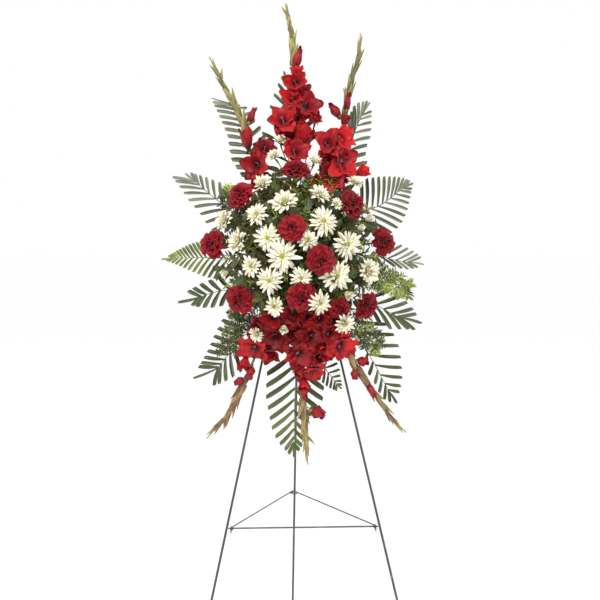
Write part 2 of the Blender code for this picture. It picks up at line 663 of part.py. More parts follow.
def rear_leg(collection):
    """The rear leg: an eye round the hinge bar, a straight wire, and the small catch that
    the rear brace rests on."""
    middle = Vector((EASEL_X, leg_plane_y(HINGE_Z), HINGE_Z))
    eye_radius = HINGE_RADIUS + EYE_CLEARANCE + LEG_RADIUS
    down = Vector((0.0, REAR_LEG_SLOPE, -1.0)).normalized()
    eye = []
    turns = 10
    for index in range(turns):
        angle = 2 * math.pi * index / turns
        eye.append(middle + eye_radius * Vector((0.0, math.cos(angle), math.sin(angle))))
    foot = middle + down * (HINGE_Z + FOOT_SPARE) / -down.z
    shank = wire_piece([middle + down * eye_radius, foot], LEG_RADIUS, 4)
    eye_piece = wire_piece(eye, LEG_RADIUS, 1, cyclic=True)
    behind = LEG_RADIUS + 0.8 * MM
    catch = []
    for x, below in ((-CATCH_SPREAD, CATCH_BELOW), (0.0, CATCH_APEX_BELOW),
                     (CATCH_SPREAD, CATCH_BELOW)):
        z = BRACE_Z - below
        catch.append(Vector((EASEL_X + x, rear_leg_y(z) + behind, z)))
    catch_piece = wire_piece(catch, CATCH_RADIUS, 1)
    leg = combine(shank, [eye_piece, catch_piece], "UNION")
    finished(cut_level(leg), "leg_rear", "easel_green", collection)


def hinge_bar(collection):
    """The short bar that the rear leg hangs on, between the tops of the front legs."""
    reach = leg_offset(HINGE_Z + HINGE_RADIUS) - LEG_RADIUS * math.hypot(1, LEG_SPLAY)
    half = reach - TOUCH_GAP
    middle = Vector((EASEL_X, leg_plane_y(HINGE_Z), HINGE_Z))
    ends = [middle + Vector((side * half, 0.0, 0.0)) for side in (-1, 1)]
    finished(wire_piece(ends, HINGE_RADIUS, 4), "hinge_bar", "easel_green", collection)


def front_brace(collection):
    """The straight brace between the front legs."""
    reach = leg_offset(BRACE_Z + BRACE_FRONT_RADIUS)
    half = reach - LEG_RADIUS * math.hypot(1, LEG_SPLAY) - TOUCH_GAP
    middle = Vector((EASEL_X, leg_plane_y(BRACE_Z), BRACE_Z))
    ends = [middle + Vector((side * half, 0.0, 0.0)) for side in (-1, 1)]
    finished(wire_piece(ends, BRACE_FRONT_RADIUS, 3), "brace_front", "easel_green",
             collection)


def brace_eye(side):
    """The wound eye round the front brace, from its hanging tail to the top of the turn
    where the arm leaves it."""
    points = []
    turns = 1.25
    steps = 10
    middle = Vector((EASEL_X + side * BRACE_EYE_X, leg_plane_y(BRACE_Z), BRACE_Z))
    for index in range(steps + 1):
        share = index / steps
        angle = math.pi / 2 + 2 * math.pi * turns * (1 - share)
        shift = side * BRACE_EYE_PITCH * turns * (1 - share)
        points.append(middle + Vector((shift, BRACE_EYE_RADIUS * math.cos(angle),
                                       BRACE_EYE_RADIUS * math.sin(angle))))
    tail = points[0] + Vector((0.0, 0.0, -BRACE_TAIL))
    return [tail, *points]


def rear_braces(collection):
    """The two arms of the rear brace. The right arm passes behind the rear leg in a bend
    and ends in a tail, on which the end of the left arm lies."""
    crotch = Vector((EASEL_X, rear_leg_y(BRACE_Z), BRACE_Z))
    run = Vector((-BRACE_EYE_X, crotch.y - leg_plane_y(BRACE_Z), 0.0)).normalized()
    open_angle = math.atan2(-run.x, run.y)
    steps = 6
    bend = []
    for index in range(steps + 1):
        angle = open_angle + (math.pi - 2 * open_angle) * index / steps
        bend.append(crotch + CROTCH_RADIUS * Vector((math.cos(angle), math.sin(angle), 0.0)))
    tail = bend[-1] + CROTCH_TAIL * Vector((run.x, -run.y, 0.0))
    right = wire_piece([*brace_eye(1), *bend, tail], BRACE_REAR_RADIUS, 1)
    finished(right, "brace_rear_right", "easel_green", collection)
    above = Vector((0.0, 0.0, 2 * BRACE_REAR_RADIUS + TOUCH_GAP))
    left = wire_piece([*brace_eye(-1), tail + above, bend[-1] + above],
                      BRACE_REAR_RADIUS, 1)
    finished(left, "brace_rear_left", "easel_green", collection)


# Holder


def tie_middle(side):
    return side * leg_offset(in_holder(0.0, 0.0, TIE_HEIGHT).z)


def tray(collection):
    """The back plate with a low rim, ribs that keep the foam off it, and slots for the
    ties."""
    half_x = FOAM_WIDTH / 2 + TOUCH_GAP + RIM_WALL
    half_z = FOAM_HEIGHT / 2 + TOUCH_GAP + RIM_WALL
    plate = holder_box((-half_x, half_x), (PLATE_BACK, PLATE_FRONT), (-half_z, half_z))
    sunk = PLATE_FRONT - 0.5 * MM
    joins = []
    for side in (-1, 1):
        wall_x = sorted((side * half_x, side * (half_x - RIM_WALL)))
        wall_z = sorted((side * half_z, side * (half_z - RIM_WALL)))
        joins.append(holder_box(wall_x, (sunk, RIM_TOP), (-half_z, half_z)))
        joins.append(holder_box((-half_x, half_x), (sunk, RIM_TOP), wall_z))
        for x in (0.022, 0.066):
            rib_x = (side * x - 1.5 * MM, side * x + 1.5 * MM)
            joins.append(holder_box(rib_x, (sunk, RIB_TOP), (-0.140, 0.140)))
    body = combine(plate, joins, "UNION")
    slots = []
    for side in (-1, 1):
        for edge in (-1, 1):
            x = tie_middle(side) + edge * TIE_SLOT_SPREAD
            slots.append(holder_box(
                (x - SLOT_WIDTH / 2, x + SLOT_WIDTH / 2), (0.0, PLATE_FRONT + MM),
                (TIE_HEIGHT - SLOT_HEIGHT / 2, TIE_HEIGHT + SLOT_HEIGHT / 2)))
    finished(combine(body, slots, "DIFFERENCE"), "cage_tray", "cage_green", collection)


def grid(collection):
    """The open grid over the foam: three hoops, joined by a rail at each side."""
    inner_x = FOAM_WIDTH / 2 + TOUCH_GAP
    outer_x = inner_x + BAR_THICKNESS
    inner_out = FOAM_FRONT + TOUCH_GAP
    outer_out = inner_out + BAR_THICKNESS
    low_out = RIM_TOP + TOUCH_GAP
    bars = []
    for along in HOOP_HEIGHTS:
        span = (along - BAR_WIDTH / 2, along + BAR_WIDTH / 2)
        bars.append(holder_box((-outer_x, outer_x), (inner_out, outer_out), span))
        for side in (-1, 1):
            wall = sorted((side * inner_x, side * outer_x))
            bars.append(holder_box(wall, (low_out, outer_out), span))
    reach = FOAM_HEIGHT / 2 - 8 * MM
    for side in (-1, 1):
        wall = sorted((side * inner_x, side * outer_x))
        bars.append(holder_box(wall, (outer_out - BAR_WIDTH, outer_out), (-reach, reach)))
    fuse("cage_grid", bars, "cage_green", collection)


def tie(name, side, collection):
    """A wire loop round a leg and through two slots of the tray."""
    middle = tie_middle(side)
    front = PLATE_FRONT + TOUCH_GAP + TIE_RADIUS
    back = -(LEG_RADIUS + TOUCH_GAP + TIE_RADIUS)
    outline = ((-TIE_SLOT_SPREAD, front), (TIE_SLOT_SPREAD, front),
               (TIE_SLOT_SPREAD, PLATE_BACK - 2 * MM), (3.4 * MM, back),
               (-3.4 * MM, back), (-TIE_SLOT_SPREAD, PLATE_BACK - 2 * MM))
    points = [in_holder(middle + x, out, TIE_HEIGHT) for x, out in outline]
    finished(wire_piece(points, TIE_RADIUS, 1, cyclic=True), name, "tie_green", collection)


HOLES = []


def rooted(face, first, second, radius):
    """The straight end of a stem, from just outside the foam to its end inside, square to
    the named face. The spot on the face is across and out on the top and bottom, along and
    out on the sides, and across and along on the front. It notes the hole for the stem."""
    half_x, half_z = FOAM_WIDTH / 2, FOAM_HEIGHT / 2
    if face in ("left", "right"):
        first = off_the_bars(first)
    elif face == "front":
        second = off_the_bars(second)

    def spot(depth):
        return {
            "top": (first, second, half_z - depth),
            "bottom": (first, second, depth - half_z),
            "left": (depth - half_x, second, first),
            "right": (half_x - depth, second, first),
            "front": (first, FOAM_FRONT - depth, second),
        }[face]

    lead, entry, inner = -ROOT_LEAD, 0.0, ROOT_DEPTH
    HOLES.append((in_holder(*spot(lead)), in_holder(*spot(inner + MM)), radius))
    return [in_holder(*spot(depth)) for depth in (lead, entry, inner)]


def foam(collection):
    """The foam block with a hole for every stem that stands in it."""
    half_x = FOAM_WIDTH / 2
    half_z = FOAM_HEIGHT / 2
    block = holder_box((-half_x, half_x), (FOAM_BACK, FOAM_FRONT), (-half_z, half_z))
    drills = []
    for start, end, radius in HOLES:
        wide = (radius + HOLE_CLEARANCE) / math.cos(math.pi / 6)
        drills.append(wire_piece([start, end], wide, 1))
    finished(combine(block, drills, "DIFFERENCE"), "foam_block", "foam_green", collection)


def off_the_bars(along):
    """Moves a stem's height on the foam off the grid's hoops."""
    for bar in HOOP_HEIGHTS:
        if abs(along - bar) < STEM_BAR_CLEARANCE:
            along = bar + math.copysign(STEM_BAR_CLEARANCE, along - bar)
    return along


# Blooms


def carnation_head(diameter, matrix, stalk):
    """A carnation: a green cup, then three tiers of toothed petals round a tuft."""
    rings = [
        ring(5, 5.0, -30), ring(5, 8.0, -12),
        zigzag(16, 34, 29, -2, 2), ring(7, 20, 2, 0.5),
        zigzag(12, 28, 22, 9, 2), ring(5, 13, 9, 0.5),
        zigzag(8, 19, 13, 17, 1), ring(4, 6, 14),
    ]
    return loft(rings, 20, diameter / 0.068, matrix, stalk)


def carnation(name, across, up, diameter, nudge, turn, tip, collection):
    middle = place(across, up, dome_out(across, up) + nudge)
    look = facing(across, up, turn, tip)
    bend = middle - look * 0.042
    radius = 1.8 * MM
    if abs(across) > SIDE_ENTRY_ACROSS:
        spot = ("left" if across < 0 else "right", 0.6 * (up - HOLDER_Z), 0.070)
    else:
        spot = ("front", 0.30 * across, 0.55 * (up - HOLDER_Z))
    stalk = [(point, radius) for point in [*reversed(rooted(*spot, radius)), bend]]
    head = carnation_head(diameter, aim(middle, look, 7 * across), stalk)
    finished(head, name, "carnation_red", collection)


def mum_head(diameter, matrix, stalk):
    """A daisy chrysanthemum: eight broad outer petals, seven inner ones and a raised eye."""
    rings = [
        ring(4, 5.0, -7), petal_ring(8, 30, 13, (0, 1, -1), 0.19),
        ring(5, 9, 4), petal_ring(7, 20, 8, (6, 12, 11), 0.0, 0.5), ring(4, 6, 7),
    ]
    return loft(rings, 10, diameter / 0.060, matrix, stalk)


def small_mum_head(diameter, matrix, stalk):
    """A half-open chrysanthemum: one cup of petals."""
    rings = [ring(5, 8, -5), petal_ring(6, 16, 10, (4, 8, 7), 0.0), ring(4, 7, 5)]
    return loft(rings, 8, diameter / 0.032, matrix, stalk)


def mum_spray(name, entry, heads, collection):
    """A branching stem with a head on each branch."""
    across = sum(head[0] for head in heads) / len(heads)
    up = sum(head[1] for head in heads) / len(heads)
    stem_radius, branch_radius = 1.8 * MM, 1.4 * MM
    inside = rooted("front", *entry, stem_radius)
    fork = inside[0].lerp(place(across, up, dome_out(across, up)), 0.35)
    pieces = [wire_piece([fork, *inside], stem_radius, 0)]
    for index, (across, up, diameter, nudge, turn, tip) in enumerate(heads):
        middle = place(across, up, dome_out(across, up) + nudge)
        look = facing(across, up, turn, tip)
        matrix = aim(middle, look, 0.7 * index)
        bend = middle - look * 0.024
        start = fork - (bend - fork).normalized() * MM
        stalk = [(start, branch_radius), (bend, branch_radius)]
        head = mum_head if diameter > SMALL_HEAD else small_mum_head
        pieces.append(head(diameter, matrix, stalk))
    fuse(name, pieces, "mum_white", collection)


# Gladioli


def walk(points, spacing):
    """Points evenly spaced along a broken line, as an array, with the way along at each."""
    line = np.array([tuple(point) for point in points])
    runs = np.linalg.norm(np.diff(line, axis=0), axis=1)
    reached = np.concatenate([[0.0], np.cumsum(runs)])
    stops = np.linspace(0.0, reached[-1], max(2, round(reached[-1] / spacing)))
    spots = np.stack([np.interp(stops, reached, line[:, k]) for k in range(3)], axis=1)
    ways = np.gradient(spots, axis=0)
    ways /= np.linalg.norm(ways, axis=1)[:, None]
    return stops, spots, ways


def floret_head(radius, matrix, stalk):
    """A gladiolus floret: six broad ruffled tepals round a deep throat."""
    shape = radius / 0.040
    angles, outer, levels = [], [], []
    for i in range(6):
        middle = 2 * math.pi * i / 6
        lift = 7.0 if i % 2 else -3.0
        for turn, reach, rise in ((-0.5236, 20.0, 1.0), (-0.24, 39.0, lift + 2.0),
                                  (0.24, 39.0, lift - 2.0)):
            angles.append(middle + turn)
            outer.append(reach)
            levels.append(rise)
    rings = [ring(6, 6.0, -20), (angles, outer, levels), ring(6, 10.0, -13)]
    return loft(rings, -17, shape, matrix, stalk)


def bud_piece(base, tip, radius, flat=1.0):
    """A closed bud or bract: a spindle that is widest below its middle."""
    way = tip - base
    length = way.length / MM
    rings = [ring(4, 1.2, 0), ring(4, radius / MM, length * 0.45, 0.5)]
    piece = loft(rings, length, 1.0, aim(base, way.normalized()))
    piece.matrix_world = piece.matrix_world @ Matrix.Diagonal((1.0, flat, 1.0, 1.0))
    return piece


def round_the_foam(base, throat):
    """A point before the foam's lower or upper edge, for a floret whose throat is level with
    the foam while its stem is past the edge; otherwise nothing."""
    local = holder_matrix().inverted() @ throat
    if abs(local.z) > FOAM_HEIGHT / 2 + 0.008:
        return []
    side = math.copysign(FOAM_HEIGHT / 2 + 0.010, local.z)
    return [in_holder(local.x, FOAM_FRONT + 0.004, side)]


def gladiolus(name, plan, collection):
    """A spike: a tapering stem with its florets, then bracts in two rows up to its tip."""
    stem_radius, tip_radius = 3.6 * MM, 1.2 * MM
    stem = [place(*point) for point in plan["stem"]]
    path = [*reversed(rooted(*plan["root"], stem_radius)), *stem]
    stops, spots, ways = walk(path, 2 * MM)
    taper = [stem_radius] * 4 + [
        stem_radius + (tip_radius - stem_radius) * (i + 1) / (len(stem) - 1)
        for i in range(len(stem) - 1)]
    pieces = [wire_piece(path, stem_radius, 0, radii=taper)]

    last_floret = 0.0
    tube_radius = 2.6 * MM
    for across, up, radius, out, turn, tip in plan["florets"]:
        middle = place(across, up, out)
        nearest = int(np.argmin(np.linalg.norm(spots - np.array(middle), axis=1)))
        last_floret = max(last_floret, stops[nearest])
        base = Vector(spots[max(ROOT_FREE, nearest - round(FLORET_REACH / (2 * MM)))])
        look = facing(FLORET_DOME * across,
                      DOME_MIDDLE_Z + FLORET_DOME * (up - DOME_MIDDLE_Z), turn, tip)
        throat = middle - look * 0.026 * radius / 0.040
        route = [base, *round_the_foam(base, throat), throat]
        stalk = [(point, tube_radius) for point in route]
        pieces.append(floret_head(radius, aim(middle, look, 0.5 + across * 9), stalk))

    first = last_floret + 0.035
    for index in range(BRACTS):
        share = index / (BRACTS - 1)
        stop = first + (stops[-1] - first) * (0.88 * share)
        at = int(np.searchsorted(stops, stop).clip(0, len(stops) - 1))
        base, way = Vector(spots[at]), Vector(ways[at])
        sideways = way.cross(Vector((0.0, 1.0, 0.0))).normalized()
        side = 1 if index % 2 else -1
        length = 0.046 - 0.016 * share
        tip = base + way * length + sideways * side * (0.014 - 0.006 * share)
        pieces.append(bud_piece(base + sideways * side * 0.4 * MM, tip,
                                (7.0 - 3.0 * share) * MM, 0.75))
    second = place(*plan["second_tip"])
    at = int(np.argmin(np.linalg.norm(spots - np.array(second), axis=1)))
    pieces.append(bud_piece(Vector(spots[max(0, at - 15)]), second, 4.0 * MM, 0.8))
    for across, up, radius, length in plan["buds"]:
        middle = place(across, up, plan["stem"][1][2] + 0.014)
        at = int(np.argmin(np.linalg.norm(spots - np.array(middle), axis=1)))
        base = Vector(spots[max(0, at - round(0.6 * length / (2 * MM)))])
        end = base + (middle - base) * 1.75
        pieces.append(bud_piece(base, end, radius))
    fuse(name, pieces, "gladiolus_red", collection)


# Fronds


def along(line, share):
    """The point and the direction at a share of a broken line's length, on the front view."""
    line = np.array(line)
    runs = np.linalg.norm(np.diff(line, axis=0), axis=1)
    reached = np.concatenate([[0.0], np.cumsum(runs)]) / runs.sum()
    spot, ahead, behind = [
        np.array([np.interp(at, reached, line[:, k]) for k in range(2)])
        for at in (share, min(1.0, share + 0.02), max(0.0, share - 0.02))]
    return spot, (ahead - behind) / np.linalg.norm(ahead - behind)


def on_the_left(rib, tips):
    """Whether a side's leaflets stand on the left of the rib, seen from its root."""
    way = np.array(rib[-1]) - np.array(rib[0])
    reach = along(tips, 0.5)[0] - np.array(rib[0])
    return way[0] * reach[1] - way[1] * reach[0] > 0


def side_outline(rib, side, widths):
    """The outline of one side of a frond from root to tip: out along each leaflet to its
    oblique end and back to the rib. No leaflet is wider than its place beside the next."""
    count, first, tips = side
    left = 1 if on_the_left(rib, tips) else -1
    points = []
    for share in (first / 3, first * 2 / 3):
        spot, way = along(rib, share)
        points.append(spot + left * RIB_HALF_WIDTH[0] * np.array((-way[1], way[0])))
    for index in range(count):
        u = index / (count - 1)
        share = first + (LAST_LEAFLET - first) * u
        spot, way = along(rib, share)
        end, _ = along(tips, u)
        beside = along(tips, (index + 1) / (count - 1) if index + 1 < count else 1.0)[0]
        if index + 1 == count:
            beside = 2 * end - along(tips, (index - 1) / (count - 1))[0]
        normal = left * np.array((-way[1], way[0]))
        half_rib = RIB_HALF_WIDTH[0] + (RIB_HALF_WIDTH[1] - RIB_HALF_WIDTH[0]) * share
        ahead = (end - spot) / np.linalg.norm(end - spot)
        across = np.array((-ahead[1], ahead[0]))
        across *= np.sign(across @ way)
        width = widths[0] + (widths[1] - widths[0]) * u
        width = min(width * MM, 0.75 * abs(across @ (beside - end)))
        foot = width * 0.42 / max(abs(ahead @ normal), 0.4)
        edge = spot + normal * half_rib
        points += [edge - way * foot / 2, end - across * width / 2 - ahead * 0.6 * width,
                   end + across * width / 2, edge + way * foot / 2]
    return points


def frond(name, plan, collection):
    """A palm frond: one thin outline of rib and leaflets, arched in depth, with a round
    stalk that stands in the foam."""
    rib = plan["rib"]
    flat = bpy.data.curves.new(name, "CURVE")
    flat.dimensions = "2D"
    flat.fill_mode = "BOTH"
    flat.extrude = LEAF_THICKNESS / 2
    other, outline = [side_outline(rib, side, plan["width"]) for side in plan["sides"]]
    start, way = along(rib, 0.0)
    normal = np.array((-way[1], way[0])) * RIB_HALF_WIDTH[0]
    if not on_the_left(rib, plan["sides"][1][2]):
        normal = -normal
    points = [start + normal, *outline, plan["end"], *reversed(other), start - normal]
    spline = flat.splines.new("POLY")
    spline.points.add(len(points) - 1)
    for index, point in enumerate(points):
        spline.points[index].co = (point[0], point[1], 0.0, 1.0)
    spline.use_cyclic_u = True
    sheet = bpy.data.objects.new(name, flat)
    bpy.context.scene.collection.objects.link(sheet)
    body = as_mesh(sheet)

    line = np.array(rib)
    low, high = plan["out"]
    total = np.linalg.norm(line[-1] - line[0])
    for vert in body.data.vertices:
        spot = np.array((vert.co.x, vert.co.y))
        share = np.linalg.norm(spot - line[0]) / total
        out = low + (high - low) * min(share, 1.0) ** 2
        vert.co = place(vert.co.x, vert.co.y, out + vert.co.z)

    stalk_radius = 1.8 * MM
    first = place(*rib[0], low)
    ahead, _ = along(rib, 0.17)
    second = place(*ahead, low + (high - low) * 0.03)
    inside = rooted(*plan["root"], stalk_radius)
    stalk = wire_piece([second, first, *inside], stalk_radius, 0,
                       radii=[0.9 * MM] + [stalk_radius] * 4)
    fuse(name, [body, stalk], "palm_green", collection)


# Filler


def leaf_piece(base, tip, width, normal):
    """A small pointed leaf: a thin lens with a raised middle."""
    way = (tip - base).normalized()
    across = way.cross(normal).normalized() * width / 2
    face = across.cross(way).normalized() * 0.5 * MM
    belly = base.lerp(tip, 0.45)
    corners = [base, belly + across, tip, belly - across]
    work = bmesh.new()
    rim = [work.verts.new(point) for point in corners]
    top = work.verts.new(belly + face)
    under = work.verts.new(belly - face)
    for first, second in zip(rim, rim[1:] + rim[:1]):
        work.faces.new((first, second, top))
        work.faces.new((second, first, under))
    bmesh.ops.recalc_face_normals(work, faces=work.faces)
    mesh = bpy.data.meshes.new("leaf")
    work.to_mesh(mesh)
    work.free()
    return scratch_object(mesh)


def filler(name, plan, collection):
    """A stem with pairs of small leaves, turned a quarter from pair to pair."""
    radius = 1.6 * MM
    stem = [place(*point) for point in plan["stem"]]
    path = [*reversed(rooted(*plan["root"], radius)), *stem]
    pieces = [wire_piece(path, radius, 0, radii=[radius] * 4 + [radius * 0.7] * 2)]
    stops, spots, ways = walk(stem, 1 * MM)
    pairs, length = plan["leaves"]
    for index in range(pairs):
        at = round((len(stops) - 1) * (index + 0.5) / pairs)
        base, way = Vector(spots[at]), Vector(ways[at])
        toward = Vector((0.0, -1.0, 0.0))
        sideways = way.cross(toward).normalized()
        turn = Matrix.Rotation(math.radians(70 * (index % 2) - 35), 3, way)
        for side in (-1, 1):
            reach = (turn @ sideways) * side
            tip = base + (reach * 0.8 + way * 0.6).normalized() * length
            pieces.append(leaf_piece(base, tip, length * 0.42, toward))
    fuse(name, pieces, "filler_green", collection)


def main():
    clear_scene()
    make_materials()
    collection = new_collection("standing_spray")
    front_leg("leg_left", -1, collection)
    front_leg("leg_right", 1, collection)
    rear_leg(collection)
    hinge_bar(collection)
    front_brace(collection)
    rear_braces(collection)
    tray(collection)
    grid(collection)
    tie("tie_left", -1, collection)
    tie("tie_right", 1, collection)
    for name, plan in GLADIOLI.items():
        gladiolus(name, plan, collection)
    for name, plan in CARNATIONS.items():
        carnation(name, *plan, collection)
    for name, (entry, heads) in MUM_SPRAYS.items():
        mum_spray(name, entry, heads, collection)
    for name, plan in FRONDS.items():
        frond(name, plan, collection)
    for name, plan in FILLERS.items():
        filler(name, plan, collection)
    foam(collection)


main()
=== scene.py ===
"""Standing funeral spray: gladioli, carnations, spray chrysanthemums, palm and small-leaved greens
in a caged foam block on a folding wire easel.

Run as a script. Metres, +Z up, the flowers face -Y. The tables of plants are in mm, and metres()
turns them to metres. Elsewhere MM does.
"""

import math

import bpy
import numpy as np
from bpy.props import FloatProperty, FloatVectorProperty, IntProperty, PointerProperty
from mathutils import Matrix, Vector


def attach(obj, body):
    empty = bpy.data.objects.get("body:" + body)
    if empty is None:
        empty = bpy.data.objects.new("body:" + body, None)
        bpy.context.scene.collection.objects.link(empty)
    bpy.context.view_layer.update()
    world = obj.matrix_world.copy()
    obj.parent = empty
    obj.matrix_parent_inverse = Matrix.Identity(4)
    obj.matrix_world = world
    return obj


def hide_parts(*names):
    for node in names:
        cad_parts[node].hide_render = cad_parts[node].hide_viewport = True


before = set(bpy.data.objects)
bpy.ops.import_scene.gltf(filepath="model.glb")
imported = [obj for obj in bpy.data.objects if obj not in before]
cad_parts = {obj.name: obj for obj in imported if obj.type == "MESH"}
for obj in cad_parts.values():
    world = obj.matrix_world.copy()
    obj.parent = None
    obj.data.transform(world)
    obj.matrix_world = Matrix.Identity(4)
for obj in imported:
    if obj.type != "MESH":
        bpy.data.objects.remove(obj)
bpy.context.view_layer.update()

bl_info = {
    "name": "Standing Spray",
    "version": (1, 0, 0),
    "blender": (4, 5, 0),
    "location": "3D View > Sidebar > Spray",
    "description": "Dresses the standing spray with flowers, greens, easel and studio",
    "category": "Object",
}

MM = 0.001


def metres(lengths):
    """Lengths of a table in mm, as an array in metres."""
    return np.asarray(lengths) / 1000


def rows_in_metres(rows):
    """Rows of a table, each with its first four values, lengths in mm, in metres."""
    return [(*metres(row[:4]), *row[4:]) for row in rows]


def linear(code):
    """An sRGB hex colour as linear light with alpha 1. Each channel under 0.04045 is divided by
    12.92, and the others follow ((c + 0.055) / 1.055) to the power 2.4."""
    channels = [int(code[i:i + 2], 16) / 255 for i in (1, 3, 5)]
    return tuple(c / 12.92 if c < 0.04045 else ((c + 0.055) / 1.055) ** 2.4
                 for c in channels) + (1.0,)


def colour(name, code, description):
    """A colour that a user can change."""
    return FloatVectorProperty(name=name, description=description, default=linear(code),
                               size=4, min=0.0, max=1.0, subtype="COLOR")


def measure(name, default, low, high, unit, description):
    """A size, share, power or focal length that a user can change."""
    return FloatProperty(name=name, description=description, default=default, min=low,
                         max=high, unit=unit)


# Easel: the sizes and places of its wires, as in the part's source
EASEL_X = 0.019
LEAN = math.radians(12.0)
LEG_PLANE_Y = -0.09
LEG_PLANE_Z = 1.10
LEG_SPLAY = 0.2225
LEG_APEX_Z = 1.32
LEG_TOP_Z = 1.285
LEG_RADIUS = 3.0 * MM
TOUCH_GAP = 0.3 * MM
EYE_CLEARANCE = 0.4 * MM
HINGE_Z = 1.27
HINGE_RADIUS = 2.5 * MM
REAR_LEG_SLOPE = 0.305
BRACE_Z = 0.45
BRACE_FRONT_RADIUS = 2.0 * MM
BRACE_REAR_RADIUS = 1.75 * MM
BRACE_EYE_X = 0.178
BRACE_EYE_RADIUS = 4.2 * MM
BRACE_EYE_PITCH = 3.9 * MM
BRACE_EYE_TURNS = 1.25
BRACE_TAIL = 11.0 * MM
CROTCH_RADIUS = 5.3 * MM
CROTCH_TAIL = 20.0 * MM
CATCH_RADIUS = 1.3 * MM
CATCH_SPREAD = 8.0 * MM
CATCH_BELOW = 3.35 * MM
CATCH_APEX_BELOW = 9.0 * MM
CATCH_SINK = 0.8 * MM

# Holder: the foam, the tray's plate, the grid's hoops and the ties, measured from the holder's
# middle along the front legs, or out from their plane
HOLDER_Z = 1.09
FOAM_WIDTH = 0.150
FOAM_HEIGHT = 0.314
FOAM_BACK = 9.1 * MM
FOAM_FRONT = 99.1 * MM
PLATE_BACK = 3.3 * MM
PLATE_FRONT = 5.8 * MM
HOOP_HEIGHTS = (-0.10, 0.0, 0.10)
TIE_HEIGHT = 0.010
TIE_RADIUS = 0.8 * MM
TIE_SLOT_SPREAD = 8.0 * MM
TIE_BACK_SPREAD = 3.4 * MM

# Stems: how deep they stand in the foam, how far they run on square to it, how far from the
# middle a head's stem enters at the side, and how far stems keep from the grid's hoops
ROOT_DEPTH = 0.026
ROOT_LEAD = 0.012
SIDE_ENTRY_ACROSS = 0.16
STEM_BAR_CLEARANCE = 8.5 * MM

# Front view: places are laid out on an upright plane, as a viewer's eye sees them. A place's
# across and up are measured there, and its out from the plane of the front legs
EYE = np.array((-0.1625, -3.221, 1.1747))
LOOK_AT = np.array((0.010, -0.230, 1.025))
VIEW_PLANE_Y = -0.23
DOME_TOP = 0.200
DOME_MIDDLE_Z = 1.14
DOME_ACROSS = 2.0
DOME_UP = 1.45

# Heads look out from a point this far behind the dome's middle, as seen from above. Up and down
# they do so from this far behind, and by this share of their height from the middle
LOOK_DEPTH = 0.22
LOOK_UP_DEPTH = 0.25
LOOK_UP = 0.8

# Carnations: across, up, diameter and depth nudge in mm, turn and tip in degrees
CARNATIONS = {
    "carnation_top": (0, 1348, 70, 20, 0, 30),
    "carnation_upper_left": (-139, 1288, 66, 0, 0, 0),
    "carnation_upper_right": (141, 1266, 72, 0, 20, 0),
    "carnation_upper_middle": (-10, 1205, 66, 26, 0, 0),
    "carnation_left": (-208, 1163, 70, 0, -5, 0),
    "carnation_right": (219, 1170, 70, 0, 0, 0),
    "carnation_middle": (63, 1125, 72, 24, 0, 0),
    "carnation_lower_left": (-141, 1026, 70, 0, 0, 0),
    "carnation_lower_middle": (14, 1030, 72, 4, 0, 0),
    "carnation_lower_right": (178, 1011, 70, 0, 12, 0),
    "carnation_lower_inner": (110, 1004, 55, 0, 0, 0),
}

# Spray chrysanthemums: where the stem enters the front of the foam (across, along), then its
# heads, each across, up, diameter and depth nudge in mm, turn and tip in degrees, and how
# cupped it is, from 0 to 1
MUM_SPRAYS = {
    "mum_spray_top": ((-5, 145), ((-80, 1309, 60, 0, 0, 8, 0.8), (-53, 1380, 46, 22, -20, 0, 0.6),
        (-39, 1420, 36, 0, 0, 0, 0), (57, 1284, 60, 0, 10, 5, 0.6), (45, 1366, 46, 10, 20, 20, 0.7),
        (48, 1469, 34, 15, 0, 0, 0))),
    "mum_spray_left": ((-62, 62), ((-173, 1220, 66, 0, -18, 5, 0.5),
        (-139, 1170, 72, 0, -22, 5, 0.5), (-97, 1238, 60, 0, 0, 5, 0.2))),
    "mum_spray_centre_left": ((-30, 45), ((-27, 1264, 78, 0, -5, 12, 0.55),
        (-70, 1179, 70, 0, 0, 0, 0), (-34, 1134, 80, 0, 0, 0, 0))),
    "mum_spray_centre_right": ((30, 45), ((69, 1221, 72, 0, 0, 0, 0),
        (29, 1173, 60, 0, 0, 15, 0.35), (101, 1264, 32, 0, 0, 0, 0))),
    "mum_spray_right": ((62, 62), ((127, 1163, 76, 0, 0, 0, 0), (146, 1316, 48, 0, 0, 15, 0.4),
        (180, 1228, 28, 0, 0, 0, 0), (160, 1205, 24, 0, 0, 0, 0))),
    "mum_spray_right_low": ((58, -50), ((100, 1085, 80, 0, 0, 0, 0), (176, 1096, 76, 0, 0, 10, 0.6),
        (129, 1039, 30, 0, 0, 0, 0), (121, 967, 60, 15, 0, 10, 0.3))),
    "mum_spray_left_low": ((-58, -50), ((-110, 1110, 56, 0, 0, 0, 0.3), (-66, 1074, 66, 0, 0, 0, 0),
        (-175, 1093, 26, 0, 0, 0, 0), (-95, 942, 50, 16, -10, 10, 0.6))),
    "mum_spray_low_middle": ((-4, -55), ((13, 1080, 56, 0, 0, 0, 0), (-54, 1010, 54, 0, 0, 5, 0.3),
        (59, 1018, 62, 15, 15, 0, 0), (-30, 955, 28, 0, 0, 0, 0))),
}

